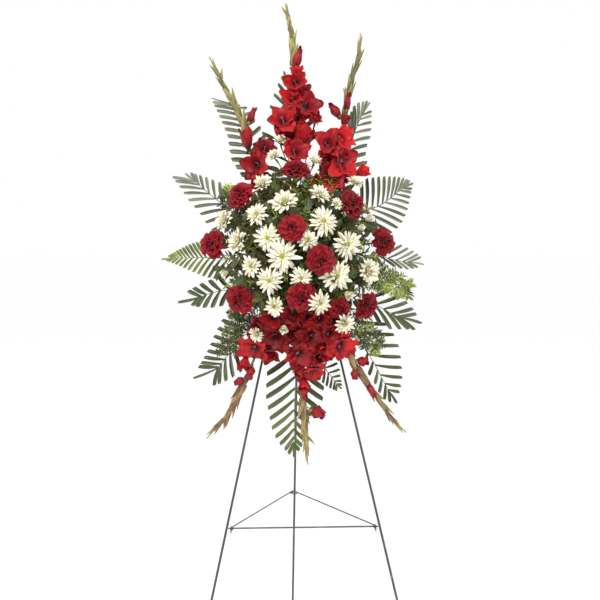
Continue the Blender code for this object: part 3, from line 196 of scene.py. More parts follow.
# Gladioli, in mm: the face and spot where each stem enters the foam, how dry the bracts are,
# from 0, green, to 1, tan, the range of the florets' painted light, from 0, shaded, to 1, lit,
# the stem (across, up, out), a second tip, the florets (across, up, radius, out, turn and tip in
# degrees, opening from 0, shut, to 1, open) and the red buds (across, up, radius, length)
GLADIOLI = {
    "gladiolus_top_centre": {
        "root": ("top", -6, 60), "dry": 0.36, "painted_light": (0.2, 1),
        "stem": ((-5, 1310, 58), (-5, 1450, 56), (-6, 1608, 54), (-8, 1664, 52), (-26, 1757, 46)),
        "second_tip": (-36, 1752, 52),
        "florets": ((-3, 1566, 44, 94, -14, -22, 0.75), (32, 1512, 46, 94, 20, -8, 0.8),
            (-36, 1475, 50, 92, -14, -5, 0.95), (18, 1438, 60, 84, 4, 42, 0.3),
            (-2, 1396, 44, 96, 0, 0, 0.85), (0, 1590, 38, 78, 10, 30, 0.4),
            (-8, 1524, 50, 80, -12, -5, 0.6), (12, 1540, 44, 74, 20, 10, 0.5),
            (4, 1480, 52, 76, 5, -5, 0.65), (-12, 1428, 46, 74, -20, 10, 0.5),
            (30, 1428, 40, 74, 20, 20, 0.35), (44, 1476, 36, 78, 30, 10, 0.45)),
        "buds": ((4, 1622, 11.2, 54),)},
    "gladiolus_top_left": {
        "root": ("top", -48, 64), "dry": 0.38, "painted_light": (0, 0.35),
        "stem": ((-72, 1280, 64), (-95, 1325, 64), (-123, 1438, 62), (-151, 1509, 58),
                 (-178, 1554, 54), (-214, 1625, 46)),
        "second_tip": (-181, 1601, 56),
        "florets": ((-102, 1358, 50, 104, -12, -26, 0.8), (-77, 1402, 38, 86, 15, -5, 0.8),
            (-122, 1425, 50, 98, -10, 50, 0.24), (-88, 1325, 40, 80, 15, -10, 0.7),
            (-74, 1292, 36, 78, 10, -20, 0.6)),
        "buds": ((-110, 1482, 9.8, 42),)},
    "gladiolus_top_right": {
        "root": ("top", 46, 64), "dry": 0.28, "painted_light": (0.2, 1),
        "stem": ((78, 1280, 64), (98, 1313, 64), (118, 1425, 62), (125, 1508, 58), (139, 1575, 54),
                 (155, 1619, 50), (160, 1686, 44)),
        "second_tip": (117, 1554, 56),
        "florets": ((90, 1336, 47, 106, 0, -8, 0.9), (124, 1374, 56, 100, 25, -8, 0.9),
            (80, 1417, 46, 106, -12, -8, 0.8), (116, 1432, 44, 112, 5, -8, 0.7),
            (122, 1472, 34, 92, 5, 45, 0.4), (80, 1374, 42, 86, -20, 0, 0.7),
            (60, 1318, 42, 80, -20, 0, 0.5), (118, 1330, 40, 82, 10, -10, 0.6),
            (165, 1346, 36, 90, 55, 5, 0.5), (105, 1400, 44, 80, 0, 10, 0.7)),
        "buds": ((97, 1496, 11.5, 42), (128, 1518, 9.5, 50))},
    "gladiolus_bottom_centre": {
        "root": ("bottom", 2, 60), "dry": 0.75, "painted_light": (0, 0.75),
        "stem": ((12, 900, 62), (16, 783, 62), (23, 700, 58), (30, 610, 50)),
        "second_tip": (48, 659, 56),
        "florets": ((65, 975, 40, 126, 10, 0, 0.8), (45, 930, 47, 108, 0, 0, 0.95),
            (8, 883, 48, 110, 0, -10, 1), (38, 840, 44, 100, 5, -20, 0.85),
            (3, 940, 42, 96, -10, 0, 0.7), (28, 980, 40, 116, 0, 0, 0.6),
            (52, 880, 40, 88, 20, -10, 0.6), (20, 815, 34, 80, -5, -40, 0.45),
            (-4, 993, 42, 114, -5, 5, 0.7), (12, 848, 36, 84, -15, -30, 0.5),
            (-35, 926, 36, 86, -5, -5, 0.6)),
        "buds": ((20, 794, 10.5, 38), (55, 742, 16.5, 34))},
    "gladiolus_bottom_left": {
        "root": ("bottom", -50, 60), "dry": 0.95, "painted_light": (0, 0.75),
        "stem": ((-85, 925, 62), (-125, 830, 62), (-150, 774, 58), (-168, 740, 54),
                 (-224, 679, 46)),
        "second_tip": (-183, 698, 52),
        "florets": ((-58, 978, 42, 128, -5, 0, 0.75), (-53, 930, 47, 112, -5, 0, 0.95),
            (-108, 899, 47, 104, -10, -10, 1), (-88, 955, 42, 104, -15, 0, 0.7),
            (-64, 890, 40, 88, 0, -20, 0.6), (-22, 968, 40, 110, 10, 0, 0.6),
            (-128, 868, 34, 80, -10, -35, 0.45)),
        "buds": ((-114, 846, 11, 32), (-143, 822, 10.5, 28))},
    "gladiolus_bottom_right": {
        "root": ("bottom", 52, 60), "dry": 0.8, "painted_light": (0, 0.75),
        "stem": ((100, 935, 62), (140, 873, 62), (181, 810, 60), (213, 768, 56), (244, 723, 52),
                 (279, 689, 46)),
        "second_tip": (246, 706, 56),
        "florets": ((88, 936, 42, 124, 5, 0, 0.8), (119, 905, 49, 106, 10, -5, 1),
            (98, 968, 38, 104, 10, 5, 0.6), (78, 893, 40, 90, 0, -15, 0.6)),
        "buds": ((168, 870, 12, 28), (148, 836, 11, 30), (190, 797, 9.5, 40))},
}

# Palm fronds, in mm: the face and spot where the stalk enters the foam, the frond's distance in
# front of the legs at root and tip, the leaflets' width there, the tone from 0, grey-green,
# through 1, dark, to 2, bright, the rib (across, up), the end of the last leaflet, and for each
# side the number of leaflets, the share of the rib where they start and the line of their tips
FRONDS = {
    "frond_upper_left": {
        "root": ("top", -66, 28), "out": (26, 40), "width": (10, 6), "tone": 0.5,
        "rib": ((-90, 1285), (-107, 1350), (-120, 1425), (-133, 1480), (-140, 1510)),
        "end": (-210, 1525), "sides": (
            (12, 0.22, ((-140, 1337), (-163, 1375), (-172, 1435), (-193, 1485), (-207, 1515))),
            (6, 0.3, ((-65, 1410), (-80, 1448), (-98, 1470), (-120, 1500))))},
    "frond_upper_centre": {
        "root": ("top", -26, 28), "out": (27, 30), "width": (7.5, 6.5), "tone": 1.1,
        "rib": ((-20, 1300), (-18, 1400), (-13, 1475), (-10, 1542)),
        "end": (-30, 1593), "sides": (
            (8, 0.14, ((-104, 1366), (-95, 1425), (-77, 1455), (-68, 1500), (-52, 1548),
                (-37, 1580))),
            (5, 0.4, ((65, 1438), (72, 1470), (45, 1515), (10, 1565))))},
    "frond_upper_right": {
        "root": ("top", 62, 28), "out": (26, 36), "width": (9, 5), "tone": 0.45,
        "rib": ((102, 1290), (122, 1360), (135, 1400), (145, 1440), (158, 1472), (170, 1492)),
        "end": (185, 1518), "sides": (
            (6, 0.55, ((130, 1480), (147, 1515), (165, 1520), (177, 1522))),
            (9, 0.18, ((175, 1345), (180, 1367), (175, 1400), (188, 1433), (190, 1458),
                (190, 1495))))},
    "frond_right_upper": {
        "root": ("right", 118, 26), "out": (24, 50), "width": (7, 5.5), "tone": 0.55,
        "rib": ((110, 1200), (147, 1235), (180, 1250), (210, 1260), (235, 1278), (255, 1295),
            (275, 1308)),
        "end": (295, 1317), "sides": (
            (11, 0.34, ((163, 1323), (177, 1330), (210, 1335), (240, 1335), (265, 1333),
                (285, 1325))),
            (10, 0.16, ((225, 1180), (242, 1192), (263, 1210), (280, 1245), (287, 1278),
                (292, 1302))))},
    "frond_left_upper": {
        "root": ("left", 118, 24), "out": (24, 46), "width": (6.5, 6), "tone": 0.35,
        "rib": ((-115, 1215), (-150, 1242), (-185, 1265), (-207, 1282), (-230, 1302), (-253, 1323)),
        "end": (-275, 1340), "sides": (
            (9, 0.1, ((-210, 1198), (-228, 1220), (-245, 1248), (-265, 1268), (-285, 1300),
                (-307, 1330))),
            (8, 0.22, ((-155, 1302), (-175, 1315), (-200, 1323), (-217, 1330), (-233, 1335),
                (-260, 1343))))},
    "frond_left_middle": {
        "root": ("left", 20, 30), "out": (30, 58), "width": (6.5, 5), "tone": 1.7,
        "rib": ((-100, 1123), (-140, 1127), (-185, 1130), (-240, 1131), (-290, 1130), (-318, 1129)),
        "end": (-335, 1127), "sides": (
            (13, 0.24, ((-190, 1075), (-215, 1079), (-233, 1084), (-263, 1097), (-292, 1110),
                (-323, 1123))),
            (15, 0.35, ((-207, 1175), (-240, 1173), (-265, 1166), (-295, 1151), (-318, 1137))))},
    "frond_left_lower": {
        "root": ("left", -40, 20), "out": (20, 40), "width": (9, 8), "tone": 1,
        "rib": ((-110, 1062), (-145, 1055), (-177, 1050), (-200, 1046), (-220, 1040), (-240, 1032)),
        "end": (-295, 1020), "sides": (
            (6, 0.28, ((-165, 1008), (-190, 1008), (-205, 1005), (-220, 1004), (-240, 1005),
                (-260, 1010))),
            (5, 0.42, ((-193, 1087), (-217, 1077), (-235, 1070), (-253, 1060), (-270, 1050))))},
    "frond_lower_left": {
        "root": ("left", -110, 28), "out": (28, 52), "width": (8, 7.5), "tone": 0.95,
        "rib": ((-105, 985), (-135, 955), (-150, 915), (-168, 890), (-182, 873), (-198, 853)),
        "end": (-258, 830), "sides": (
            (6, 0.42, ((-115, 855), (-135, 845), (-150, 835), (-170, 823), (-188, 815),
                (-205, 810))),
            (9, 0.12, ((-175, 998), (-190, 970), (-205, 940), (-220, 905), (-233, 880),
                (-245, 860))))},
    "frond_bottom_centre": {
        "root": ("bottom", -14, 24), "out": (24, 40), "width": (10, 7.5), "tone": 1.3,
        "rib": ((0, 910), (-1, 825), (-4, 750), (-5, 700), (-6, 657)),
        "end": (-5, 627), "sides": (
            (9, 0.2, ((72, 800), (69, 770), (36, 728), (26, 690), (20, 662), (10, 645))),
            (10, 0.06, ((-75, 838), (-78, 785), (-69, 733), (-60, 690), (-40, 658), (-20, 636))))},
    "frond_bottom_small": {
        "root": ("bottom", 28, 40), "out": (40, 46), "width": (5.5, 5), "tone": 1,
        "rib": ((55, 905), (65, 865), (80, 843), (95, 825), (105, 810)),
        "end": (115, 800), "sides": (
            (6, 0.35, ((95, 882), (110, 860), (113, 835), (117, 812))),
            (6, 0.35, ((58, 823), (72, 810), (83, 802), (100, 795))))},
    "frond_right_lower": {
        "root": ("right", -105, 20), "out": (20, 34), "width": (7.5, 6.5), "tone": 1.05,
        "rib": ((115, 1000), (140, 960), (165, 920), (188, 880), (205, 850), (223, 815),
            (237, 790)),
        "end": (255, 762), "sides": (
            (8, 0.12, ((230, 963), (245, 945), (260, 912), (268, 870), (270, 823), (263, 792))),
            (6, 0.52, ((170, 860), (180, 838), (198, 812), (215, 777), (237, 765))))},
    "frond_right_middle": {
        "root": ("right", -30, 30), "out": (30, 56), "width": (8, 7.5), "tone": 0.9,
        "rib": ((113, 1065), (150, 1040), (185, 1020), (220, 1002), (240, 990), (260, 980)),
        "end": (318, 965), "sides": (
            (5, 0.42, ((240, 1052), (270, 1030), (292, 1010), (305, 990))),
            (5, 0.42, ((215, 958), (235, 950), (255, 948), (275, 950), (300, 948))))},
    "frond_right_grey": {
        "root": ("right", 40, 20), "out": (20, 30), "width": (5.5, 5), "tone": 0.15,
        "rib": ((113, 1130), (180, 1137), (215, 1134), (240, 1126), (265, 1121), (287, 1119)),
        "end": (323, 1113), "sides": (
            (6, 0.42, ((250, 1170), (273, 1160), (287, 1153), (305, 1143), (315, 1133))),
            (5, 0.55, ((250, 1107), (273, 1101), (287, 1100), (307, 1105))))},
}
# Small-leaved filler, in mm: the face and spot where each stem enters the foam, the leaves (pairs,
# length, width as a share of it, tone as on the palm, side twigs) and the stem (across, up, out)
FILLERS = {
    "filler_upper_left": {
        "root": ("left", 85, 60), "leaves": (14, 30, 0.26, 1.15, 10),
        "stem": ((-105, 1190, 64), (-150, 1235, 70), (-175, 1300, 70))},
    "filler_right": {
        "root": ("right", 8, 60), "leaves": (18, 26, 0.26, 1.6, 20),
        "stem": ((130, 1098, 62), (200, 1085, 66), (285, 1050, 60))},
    "filler_lower_left": {
        "root": ("left", -80, 60), "leaves": (14, 26, 0.22, 1.15, 14),
        "stem": ((-105, 1000, 62), (-145, 965, 62), (-170, 900, 58))},
    "filler_lower_right": {
        "root": ("right", -80, 60), "leaves": (14, 26, 0.22, 1.35, 14),
        "stem": ((125, 990, 62), (165, 950, 62), (205, 905, 58))},
}


# Places


def leg_plane_y(z):
    """How far back the leaning plane of the front legs lies at that height."""
    return LEG_PLANE_Y + (z - LEG_PLANE_Z) * math.tan(LEAN)


def leg_offset(z):
    """How far from the middle a front leg stands at that height."""
    return LEG_SPLAY * (LEG_APEX_Z - z)


def rear_leg_y(z):
    """How far back the rear leg stands at that height."""
    return leg_plane_y(HINGE_Z) + (HINGE_Z - z) * REAR_LEG_SLOPE


def place(across, up, out):
    """Where the line from the eye through (across, up) of the view plane meets the plane that
    lies the distance out in front of the leaning front legs. Arrays give arrays of points."""
    across, up, out = np.broadcast_arrays(across, up, out)
    sight = np.stack([across, np.full(across.shape, VIEW_PLANE_Y), up], axis=-1) - EYE
    wanted = leg_plane_y(EYE[2]) - out / math.cos(LEAN) - EYE[1]
    share = wanted / (sight[..., 1] - math.tan(LEAN) * sight[..., 2])
    return EYE + sight * share[..., None]


def in_holder(x, out, along):
    """A point of the leaning holder: across from its middle, out from the leg plane and along
    the legs. Both are turned by the lean about the X axis."""
    x, out, along = np.broadcast_arrays(x, out, along)
    y = along * math.sin(LEAN) - out * math.cos(LEAN)
    z = along * math.cos(LEAN) + out * math.sin(LEAN)
    return np.stack([EASEL_X + x, leg_plane_y(HOLDER_Z) + y, HOLDER_Z + z], axis=-1)


def dome_out(across, up):
    """How far the heads stand out: a dome that falls with the squares of both distances."""
    return DOME_TOP - DOME_ACROSS * across**2 - DOME_UP * (up - DOME_MIDDLE_Z) ** 2


def facing(across, up, turn, tip):
    """The way a head looks: out from a point behind the dome's middle, then turned to the
    right and tipped up."""
    yaw = math.atan2(across, LOOK_DEPTH) + math.radians(turn)
    pitch = math.atan2(LOOK_UP * (up - DOME_MIDDLE_Z), LOOK_UP_DEPTH) + math.radians(tip)
    return np.array((math.sin(yaw) * math.cos(pitch), -math.cos(yaw) * math.cos(pitch),
                     math.sin(pitch)))


def aim(point, look, roll=0.0):
    """A frame at point whose Z axis looks that way, as a 4 by 4 array."""
    turn = Vector(look).to_track_quat("Z", "Y").to_matrix().to_4x4()
    return np.array(Matrix.Translation(point) @ turn @ Matrix.Rotation(roll, 4, "Z"))


def moved(points, matrix):
    """Points carried by a 4 by 4 array: turned, then shifted."""
    return points @ matrix[:3, :3].T + matrix[:3, 3]


def off_the_bars(along):
    """A stem's height on the foam, moved off the grid's hoops."""
    for bar in HOOP_HEIGHTS:
        if abs(along - bar) < STEM_BAR_CLEARANCE:
            along = bar + math.copysign(STEM_BAR_CLEARANCE, along - bar)
    return along


def rooted(face, first, second):
    """The straight end of a stem, from inside the foam to just outside, square to the face."""
    half_x, half_z = FOAM_WIDTH / 2, FOAM_HEIGHT / 2
    if face in ("left", "right"):
        first = off_the_bars(first)
    elif face == "front":
        second = off_the_bars(second)
    depth = np.array((ROOT_DEPTH, 0.0, -ROOT_LEAD))
    spot = {
        "top": (first, second, half_z - depth),
        "bottom": (first, second, depth - half_z),
        "left": (depth - half_x, second, first),
        "right": (half_x - depth, second, first),
        "front": (first, FOAM_FRONT - depth, second),
    }[face]
    return in_holder(*spot)


def table_root(root):
    """The straight end of a stem, from a table's face and spot."""
    face, *spot = root
    return rooted(face, *metres(spot))


# Surfaces

NO_TRIANGLES = np.zeros((0, 3), int)
STEM_REFERENCE = (0.9, 0.1, 0.3)
LINE_STEPS = 240


def unit(vectors):
    """Vectors divided by their lengths."""
    return vectors / np.maximum(np.linalg.norm(vectors, axis=-1, keepdims=True), 1e-12)


def cells(grid):
    """The four corners of each cell of a grid of point numbers."""
    return np.stack([grid[:-1, :-1], grid[:-1, 1:], grid[1:, 1:], grid[1:, :-1]],
                    axis=-1).reshape(-1, 4)


def ring_numbers(count, sides):
    """The point numbers of rings of points, each ring closed by its own first number."""
    number = np.arange(count * sides).reshape(count, sides)
    return np.concatenate([number, number[:, :1]], axis=1)


def fan(pole, before, after):
    """Triangles from a pole to neighbours on a ring."""
    return np.stack([np.full(len(before), pole), before, after], axis=1)


def rings(path, way, radii, sides, reference):
    """Rings of points round a path. Each lies in the plane of two directions square to the
    path: its cross product with the reference, and the cross product of the path with that."""
    side = unit(np.cross(way, np.asarray(reference, float)))
    other = np.cross(way, side)
    turn = np.arange(sides)[:, None] * 2 * math.pi / sides
    ring = side[:, None] * np.cos(turn) + other[:, None] * np.sin(turn)
    return path[:, None] + ring * radii[:, None, None]


def sheet(rows, columns, first=0.0, last=1.0):
    """The two parameters of a blade's grid: one from the first to the last value along it, and
    one from -1 to 1 across it."""
    along = np.linspace(first, last, rows)[None, :, None]
    return along, np.linspace(-1, 1, columns)[None, None, :]


def eased(points, count, soft=0.0):
    """Places spaced evenly along a broken line. Each is the mean of the line over the soft
    length round it, and past the ends the line runs on as its mirror image through the end."""
    points = np.asarray(points, float)
    runs = np.linalg.norm(np.diff(points, axis=0), axis=1)
    reached = np.concatenate([[0.0], np.cumsum(runs)])
    stops = np.linspace(0.0, reached[-1], LINE_STEPS)
    line = np.stack([np.interp(stops, reached, points[:, k]) for k in range(3)], axis=1)
    half = int(LINE_STEPS * soft / max(reached[-1], 1e-9) / 2)
    if half:
        before = 2 * line[:1] - line[half:0:-1]
        after = 2 * line[-1:] - line[-2:-2 - half:-1]
        padded = np.concatenate([before, line, after])
        window = np.full(2 * half + 1, 1.0 / (2 * half + 1))
        line = np.stack([np.convolve(padded[:, k], window, "valid") for k in range(3)], axis=1)
    wanted = np.linspace(0.0, reached[-1], count)
    return np.stack([np.interp(wanted, stops, line[:, k]) for k in range(3)], axis=1)


class Form:
    """The surfaces of one piece. Each point keeps a place on its own surface (across, along), a
    tint that differs from part to part, and a number that says which part it is."""

    def __init__(self):
        self.points, self.quads, self.tris = [], [], []
        self.maps, self.tints, self.parts = [], [], []
        self.count = 0

    def put(self, points, quads, tris=NO_TRIANGLES, places=None, tint=0.5, part=0):
        """Adds points, what they keep, and faces that number these points from 0."""
        self.points.append(points)
        self.quads.append(quads + self.count)
        self.tris.append(tris + self.count)
        self.maps.append(np.zeros((len(points), 2)) if places is None else places)
        self.tints.append(np.broadcast_to(tint, len(points)))
        self.parts.append(np.broadcast_to(part, len(points)))
        self.count += len(points)

    def blades(self, middle, thickness, tint=0.5, part=0):
        """Thin closed blades. middle holds the middle surface of each as a grid, in an array of
        blades, rows and columns. The two faces lie half the thickness to each side of it, along
        the cross product of the grid's directions, and meet at its rim."""
        count, rows, cols = middle.shape[:3]
        normal = unit(np.cross(np.gradient(middle, axis=2), np.gradient(middle, axis=1)))
        away = normal[:, 1:-1, 1:-1] * thickness / 2
        upper = middle.copy()
        upper[:, 1:-1, 1:-1] += away
        lower = middle[:, 1:-1, 1:-1] - away
        points = np.concatenate([upper.reshape(count, -1, 3), lower.reshape(count, -1, 3)],
                                axis=1)
        grid = np.arange(rows * cols).reshape(rows, cols)
        under = grid.copy()
        inner = (rows - 2) * (cols - 2)
        under[1:-1, 1:-1] = rows * cols + np.arange(inner).reshape(rows - 2, cols - 2)
        quads = np.concatenate([cells(grid), cells(under)[:, ::-1]])
        quads = quads[None] + points.shape[1] * np.arange(count)[:, None, None]
        along, across = np.meshgrid(np.linspace(0, 1, rows), np.linspace(0, 1, cols),
                                    indexing="ij")
        place = np.stack([across, along], axis=-1)
        place = np.concatenate([place.reshape(-1, 2), place[1:-1, 1:-1].reshape(-1, 2)])
        tint, part = (np.repeat(np.broadcast_to(value, count), points.shape[1])
                      for value in (tint, part))
        self.put(points.reshape(-1, 3), quads.reshape(-1, 4), NO_TRIANGLES,
                 np.tile(place, (count, 1)), tint, part)

    def tube(self, path, radii, sides=8, tint=0.5, part=0, reference=STEM_REFERENCE):
        """A round bar: rings along a path, and both ends closed to a point on it."""
        path = np.asarray(path, float)
        radii = np.broadcast_to(radii, len(path))
        round_it = rings(path, unit(np.gradient(path, axis=0)), radii, sides, reference)
        number = ring_numbers(len(path), sides)
        poles = len(path) * sides
        ends = [fan(poles, number[0, 1:], number[0, :-1]),
                fan(poles + 1, number[-1, :-1], number[-1, 1:])]
        along, across = np.meshgrid(np.linspace(0, 1, len(path)), np.arange(sides) / sides,
                                    indexing="ij")
        place = np.stack([across, along], axis=-1).reshape(-1, 2)
        place = np.concatenate([place, [[0.5, 0.0], [0.5, 1.0]]])
        points = np.concatenate([round_it.reshape(-1, 3), path[:1], path[-1:]])
        self.put(points, cells(number), np.concatenate(ends), place, tint, part)

    def build(self, name, material, slot, nodes=(), body="stand", smooth=60.0):
        """Makes the piece, which rides on the body and stands for the nodes."""
        points = np.concatenate(self.points)
        quads = np.concatenate(self.quads)
        tris = np.concatenate(self.tris)
        corners = np.concatenate([quads.ravel(), tris.ravel()]).astype(np.int32)
        sizes = np.concatenate([np.full(len(quads), 4), np.full(len(tris), 3)])
        mesh = bpy.data.meshes.new(name)
        mesh.vertices.add(len(points))
        mesh.vertices.foreach_set("co", points.ravel().astype(np.float32))
        mesh.loops.add(len(corners))
        mesh.loops.foreach_set("vertex_index", corners)
        mesh.polygons.add(len(sizes))
        mesh.polygons.foreach_set("loop_start", (np.cumsum(sizes) - sizes).astype(np.int32))
        mesh.update(calc_edges=True)
        layer = mesh.uv_layers.new(name="surface")
        layer.data.foreach_set("uv", np.concatenate(self.maps)[corners].ravel())
        for title, values in (("tint", self.tints), ("part", self.parts)):
            kept = mesh.attributes.new(title, "FLOAT", "POINT")
            kept.data.foreach_set("value", np.concatenate(values).astype(np.float32))
        mesh.shade_smooth()
        mesh.set_sharp_from_angle(angle=math.radians(smooth))
        piece = bpy.data.objects.new(name, mesh)
        bpy.context.scene.collection.objects.link(piece)
        mesh.materials.append(bpy.data.materials[material])
        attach(piece, body)
        if nodes:
            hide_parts(*nodes)
        return piece


def petals(turns, reach, rise, across):
    """Petals round a head's axis, in mm: each point lies reach out from the axis and rise up
    along it, in the petal's own direction, and across at right angles to both."""
    cos, sin = np.cos(turns)[:, None, None], np.sin(turns)[:, None, None]
    x, y, z = np.broadcast_arrays(reach * cos - across * sin, reach * sin + across * cos, rise)
    return np.stack([x, y, z], axis=-1) * MM


def spaced(rng, count, astray, uneven):
    """Turns of petals that are evenly spaced in a ring but for a little, and their sizes."""
    turns = (np.arange(count) + rng.random()) * 2 * math.pi / count
    return turns + rng.normal(0, astray, count), 1 + rng.normal(0, uneven, (count, 1, 1))


def leaf_grid(base, along, face, length, width, rows, columns, fold=0.2, droop=0.15,
              teeth=0.0):
    """Leaves, each a grid: the middle line runs along from its base and droops with the square
    of the distance, the half width is a sine with its peak before the middle, widened by teeth
    that come and go along the edge, and the two halves fold up from the midrib."""
    u, v = sheet(rows, columns, 0.02, 0.985)
    along, face = unit(along), unit(face)
    side = unit(np.cross(along, face))
    face = np.cross(side, along)
    length = np.broadcast_to(length, len(base))[:, None, None]
    half = np.broadcast_to(width, len(base))[:, None, None] / 2
    shape = np.sin(math.pi * u**0.8) ** 0.85
    shape = shape * (1 + teeth * np.sin(u * math.pi * 9) * np.abs(v))
    x = half * shape * v
    y = length * u
    z = np.abs(x) * fold - droop * length * u**2
    return (base[:, None, None] + x[..., None] * side[:, None, None]
            + y[..., None] * along[:, None, None] + z[..., None] * face[:, None, None])


# Finishes

TINT_SHIFT = 40.0


def add(tree, kind, *inputs, **settings):
    """Adds a node of a kind with its settings, and gives its first output in use. The inputs
    stand in the order in which the node shows them. Each is a value, the output of another
    node, which is linked, or None where the node's own value stays."""
    made = tree.nodes.new("ShaderNode" + kind)
    for name, value in settings.items():
        setattr(made, name, value)
    for socket, value in zip([one for one in made.inputs if one.enabled], inputs):
        if isinstance(value, bpy.types.NodeSocket):
            tree.links.new(value, socket)
        elif value is not None:
            socket.default_value = value
    return next(one for one in made.outputs if one.enabled)


def finish(name, **sockets):
    """A new material whose shader has these values all over."""
    material = bpy.data.materials.new(name)
    material.use_nodes = True
    shader = material.node_tree.nodes["Principled BSDF"]
    for socket, value in sockets.items():
        shader.inputs[socket.replace("_", " ")].default_value = value
    return material.node_tree, shader


def dress(tree, shader, tone, height, strength, depth):
    """Gives the shader its colour, and relief that is the depth high where the height is 1."""
    tree.links.new(tone, shader.inputs["Base Color"])
    relief = add(tree, "Bump", strength, depth, None, height)
    tree.links.new(relief, shader.inputs["Normal"])


def streaks(tree, across_scale, along_scale):
    """Noise that is stretched along a petal or leaf, as veins run. The scale across is the
    blade's width over the distance between veins, both in mm. The pattern differs from blade
    to blade, because the tint shifts it."""
    surface = add(tree, "UVMap", uv_map="surface")
    across, along, _ = add(tree, "SeparateXYZ", surface).node.outputs
    tint = add(tree, "Attribute", attribute_name="tint").node.outputs["Fac"]
    wide = add(tree, "Math", across, across_scale, operation="MULTIPLY")
    long = add(tree, "Math", along, along_scale, operation="MULTIPLY")
    other = add(tree, "Math", tint, TINT_SHIFT, operation="MULTIPLY")
    spot = add(tree, "CombineXYZ", wide, long, other)
    return across, along, tint, add(tree, "TexNoise", spot, 1.0, 2.0)


def petal_finish(name, deep, body, bright, deep_until, roughness, veins, sheen, heart, end, tip_age_and_highlight):
    """A living petal: soft and satin, with fine veins from base to rim. Towards the base the deep
    colour comes in: painted shade deep in the gladioli and carnations, the chrysanthemums' own
    yellow-green base. The bright colour, brought in by noise and each petal's tint, is a painted
    highlight on the red flowers and a paler tone on the chrysanthemums. Near the ends the end
    colour comes in by a share: a painted rim highlight on the carnations, aged tips on the
    chrysanthemums. No two petals are quite alike."""
    tree, shader = finish(name, Roughness=roughness, IOR=1.35, Sheen_Weight=sheen,
                          Sheen_Roughness=0.4)
    _, along, tint, noise = streaks(tree, veins, 2.0)
    # Painted shade: the deep colour darkens the base of the red flowers' petals, deep in the
    # flower; on the chrysanthemums it is their own yellow-green base
    rim = add(tree, "MapRange", along, 0.0, deep_until, interpolation_type="SMOOTHSTEP")
    # Painted highlight: noise times each petal's tint brings in the bright colour on the gladioli
    # and carnations; on the chrysanthemums it is a paler tone
    lit = add(tree, "Math", noise, tint, operation="MULTIPLY")
    lit = add(tree, "MapRange", lit, 0.05, 0.55)
    mixed = add(tree, "Mix", lit, body, bright, data_type="RGBA")
    # Painted rim highlight on the carnations; on the chrysanthemums the tips turn with age
    last = add(tree, "MapRange", along, 0.7, 1.0, 0.0, tip_age_and_highlight, interpolation_type="SMOOTHSTEP")
    turned = add(tree, "Math", 1.0, lit, operation="SUBTRACT")
    turned = add(tree, "Math", last, turned, operation="MULTIPLY")
    mixed = add(tree, "Mix", turned, mixed, end, data_type="RGBA")
    shaded = add(tree, "Mix", rim, deep, mixed, data_type="RGBA")
    part = add(tree, "Attribute", attribute_name="part").node.outputs["Fac"]
    whole = add(tree, "Mix", part, shaded, heart, data_type="RGBA")
    dress(tree, shader, whole, noise, 0.5, 0.25 * MM)


def leaf_finish(name, grey, dark, bright, roughness, veins):
    """A waxy leaf: a paler midrib, fine parallel veins and a soft gloss. Its tone comes from
    the piece: 0 is grey-green, 1 dark green and 2 bright yellow-green."""
    tree, shader = finish(name, Roughness=roughness, IOR=1.45)
    across, _, tint, noise = streaks(tree, veins, 1.2)
    part = add(tree, "Attribute", attribute_name="part").node.outputs["Fac"]
    low = add(tree, "MapRange", part)
    high = add(tree, "MapRange", part, 1.0, 2.0)
    tone = add(tree, "Mix", low, grey, dark, data_type="RGBA")
    tone = add(tree, "Mix", high, tone, bright, data_type="RGBA")
    value = add(tree, "Math", noise, tint, operation="ADD")
    value = add(tree, "MapRange", value, 0.3, 1.7, 0.42, 1.85)
    tone = add(tree, "HueSaturation", None, None, value, None, tone)
    middle = add(tree, "Math", across, 0.5, operation="SUBTRACT")
    middle = add(tree, "Math", middle, operation="ABSOLUTE")
    rib = add(tree, "MapRange", middle, 0.03, 0.08, 0.22, 0.0)
    tone = add(tree, "Mix", rib, tone, bright, data_type="RGBA")
    dress(tree, shader, tone, noise, 0.6, 0.2 * MM)


def bract_finish(name, green, olive, tan, flush):
    """The sheathing bracts of a flower spike: ribbed along their length, green where fresh and
    papery tan where they dry, with a purplish brown flush that rises from the base."""
    tree, shader = finish(name, Roughness=0.55, IOR=1.4)
    _, along, tint, noise = streaks(tree, 35 / 2.5, 1.5)
    part = add(tree, "Attribute", attribute_name="part").node.outputs["Fac"]
    dry = add(tree, "Math", noise, 0.5, operation="SUBTRACT")
    dry = add(tree, "Math", dry, 0.9, part, operation="MULTIPLY_ADD")
    first = add(tree, "MapRange", dry, None, 0.5)
    second = add(tree, "MapRange", dry, 0.5)
    tone = add(tree, "Mix", first, green, olive, data_type="RGBA")
    tone = add(tree, "Mix", second, tone, tan, data_type="RGBA")
    low = add(tree, "MapRange", along, 0.1, 0.85, 1.3, 0.0)
    low = add(tree, "Math", low, noise, operation="MULTIPLY", use_clamp=True)
    tone = add(tree, "Mix", low, tone, flush, data_type="RGBA")
    value = add(tree, "MapRange", tint, None, None, 0.5, 1.35)
    tone = add(tree, "HueSaturation", None, None, value, None, tone)
    dress(tree, shader, tone, noise, 0.7, 0.3 * MM)


def worn(tree, shader, body, bare, grain, spread, detail, low, high, strength, depth):
    """A grain of that size all over, and patches of a second colour, as far apart as the
    spread. They come in where a coarse noise lies between the low and the high share."""
    spot = add(tree, "TexCoord").node.outputs["Object"]
    fine = add(tree, "TexNoise", spot, 1 / grain, 2.0)
    coarse = add(tree, "TexNoise", spot, 1 / spread, detail)
    patch = add(tree, "MapRange", coarse, low, high)
    tone = add(tree, "Mix", patch, body, bare, data_type="RGBA")
    dress(tree, shader, tone, fine, strength, depth)


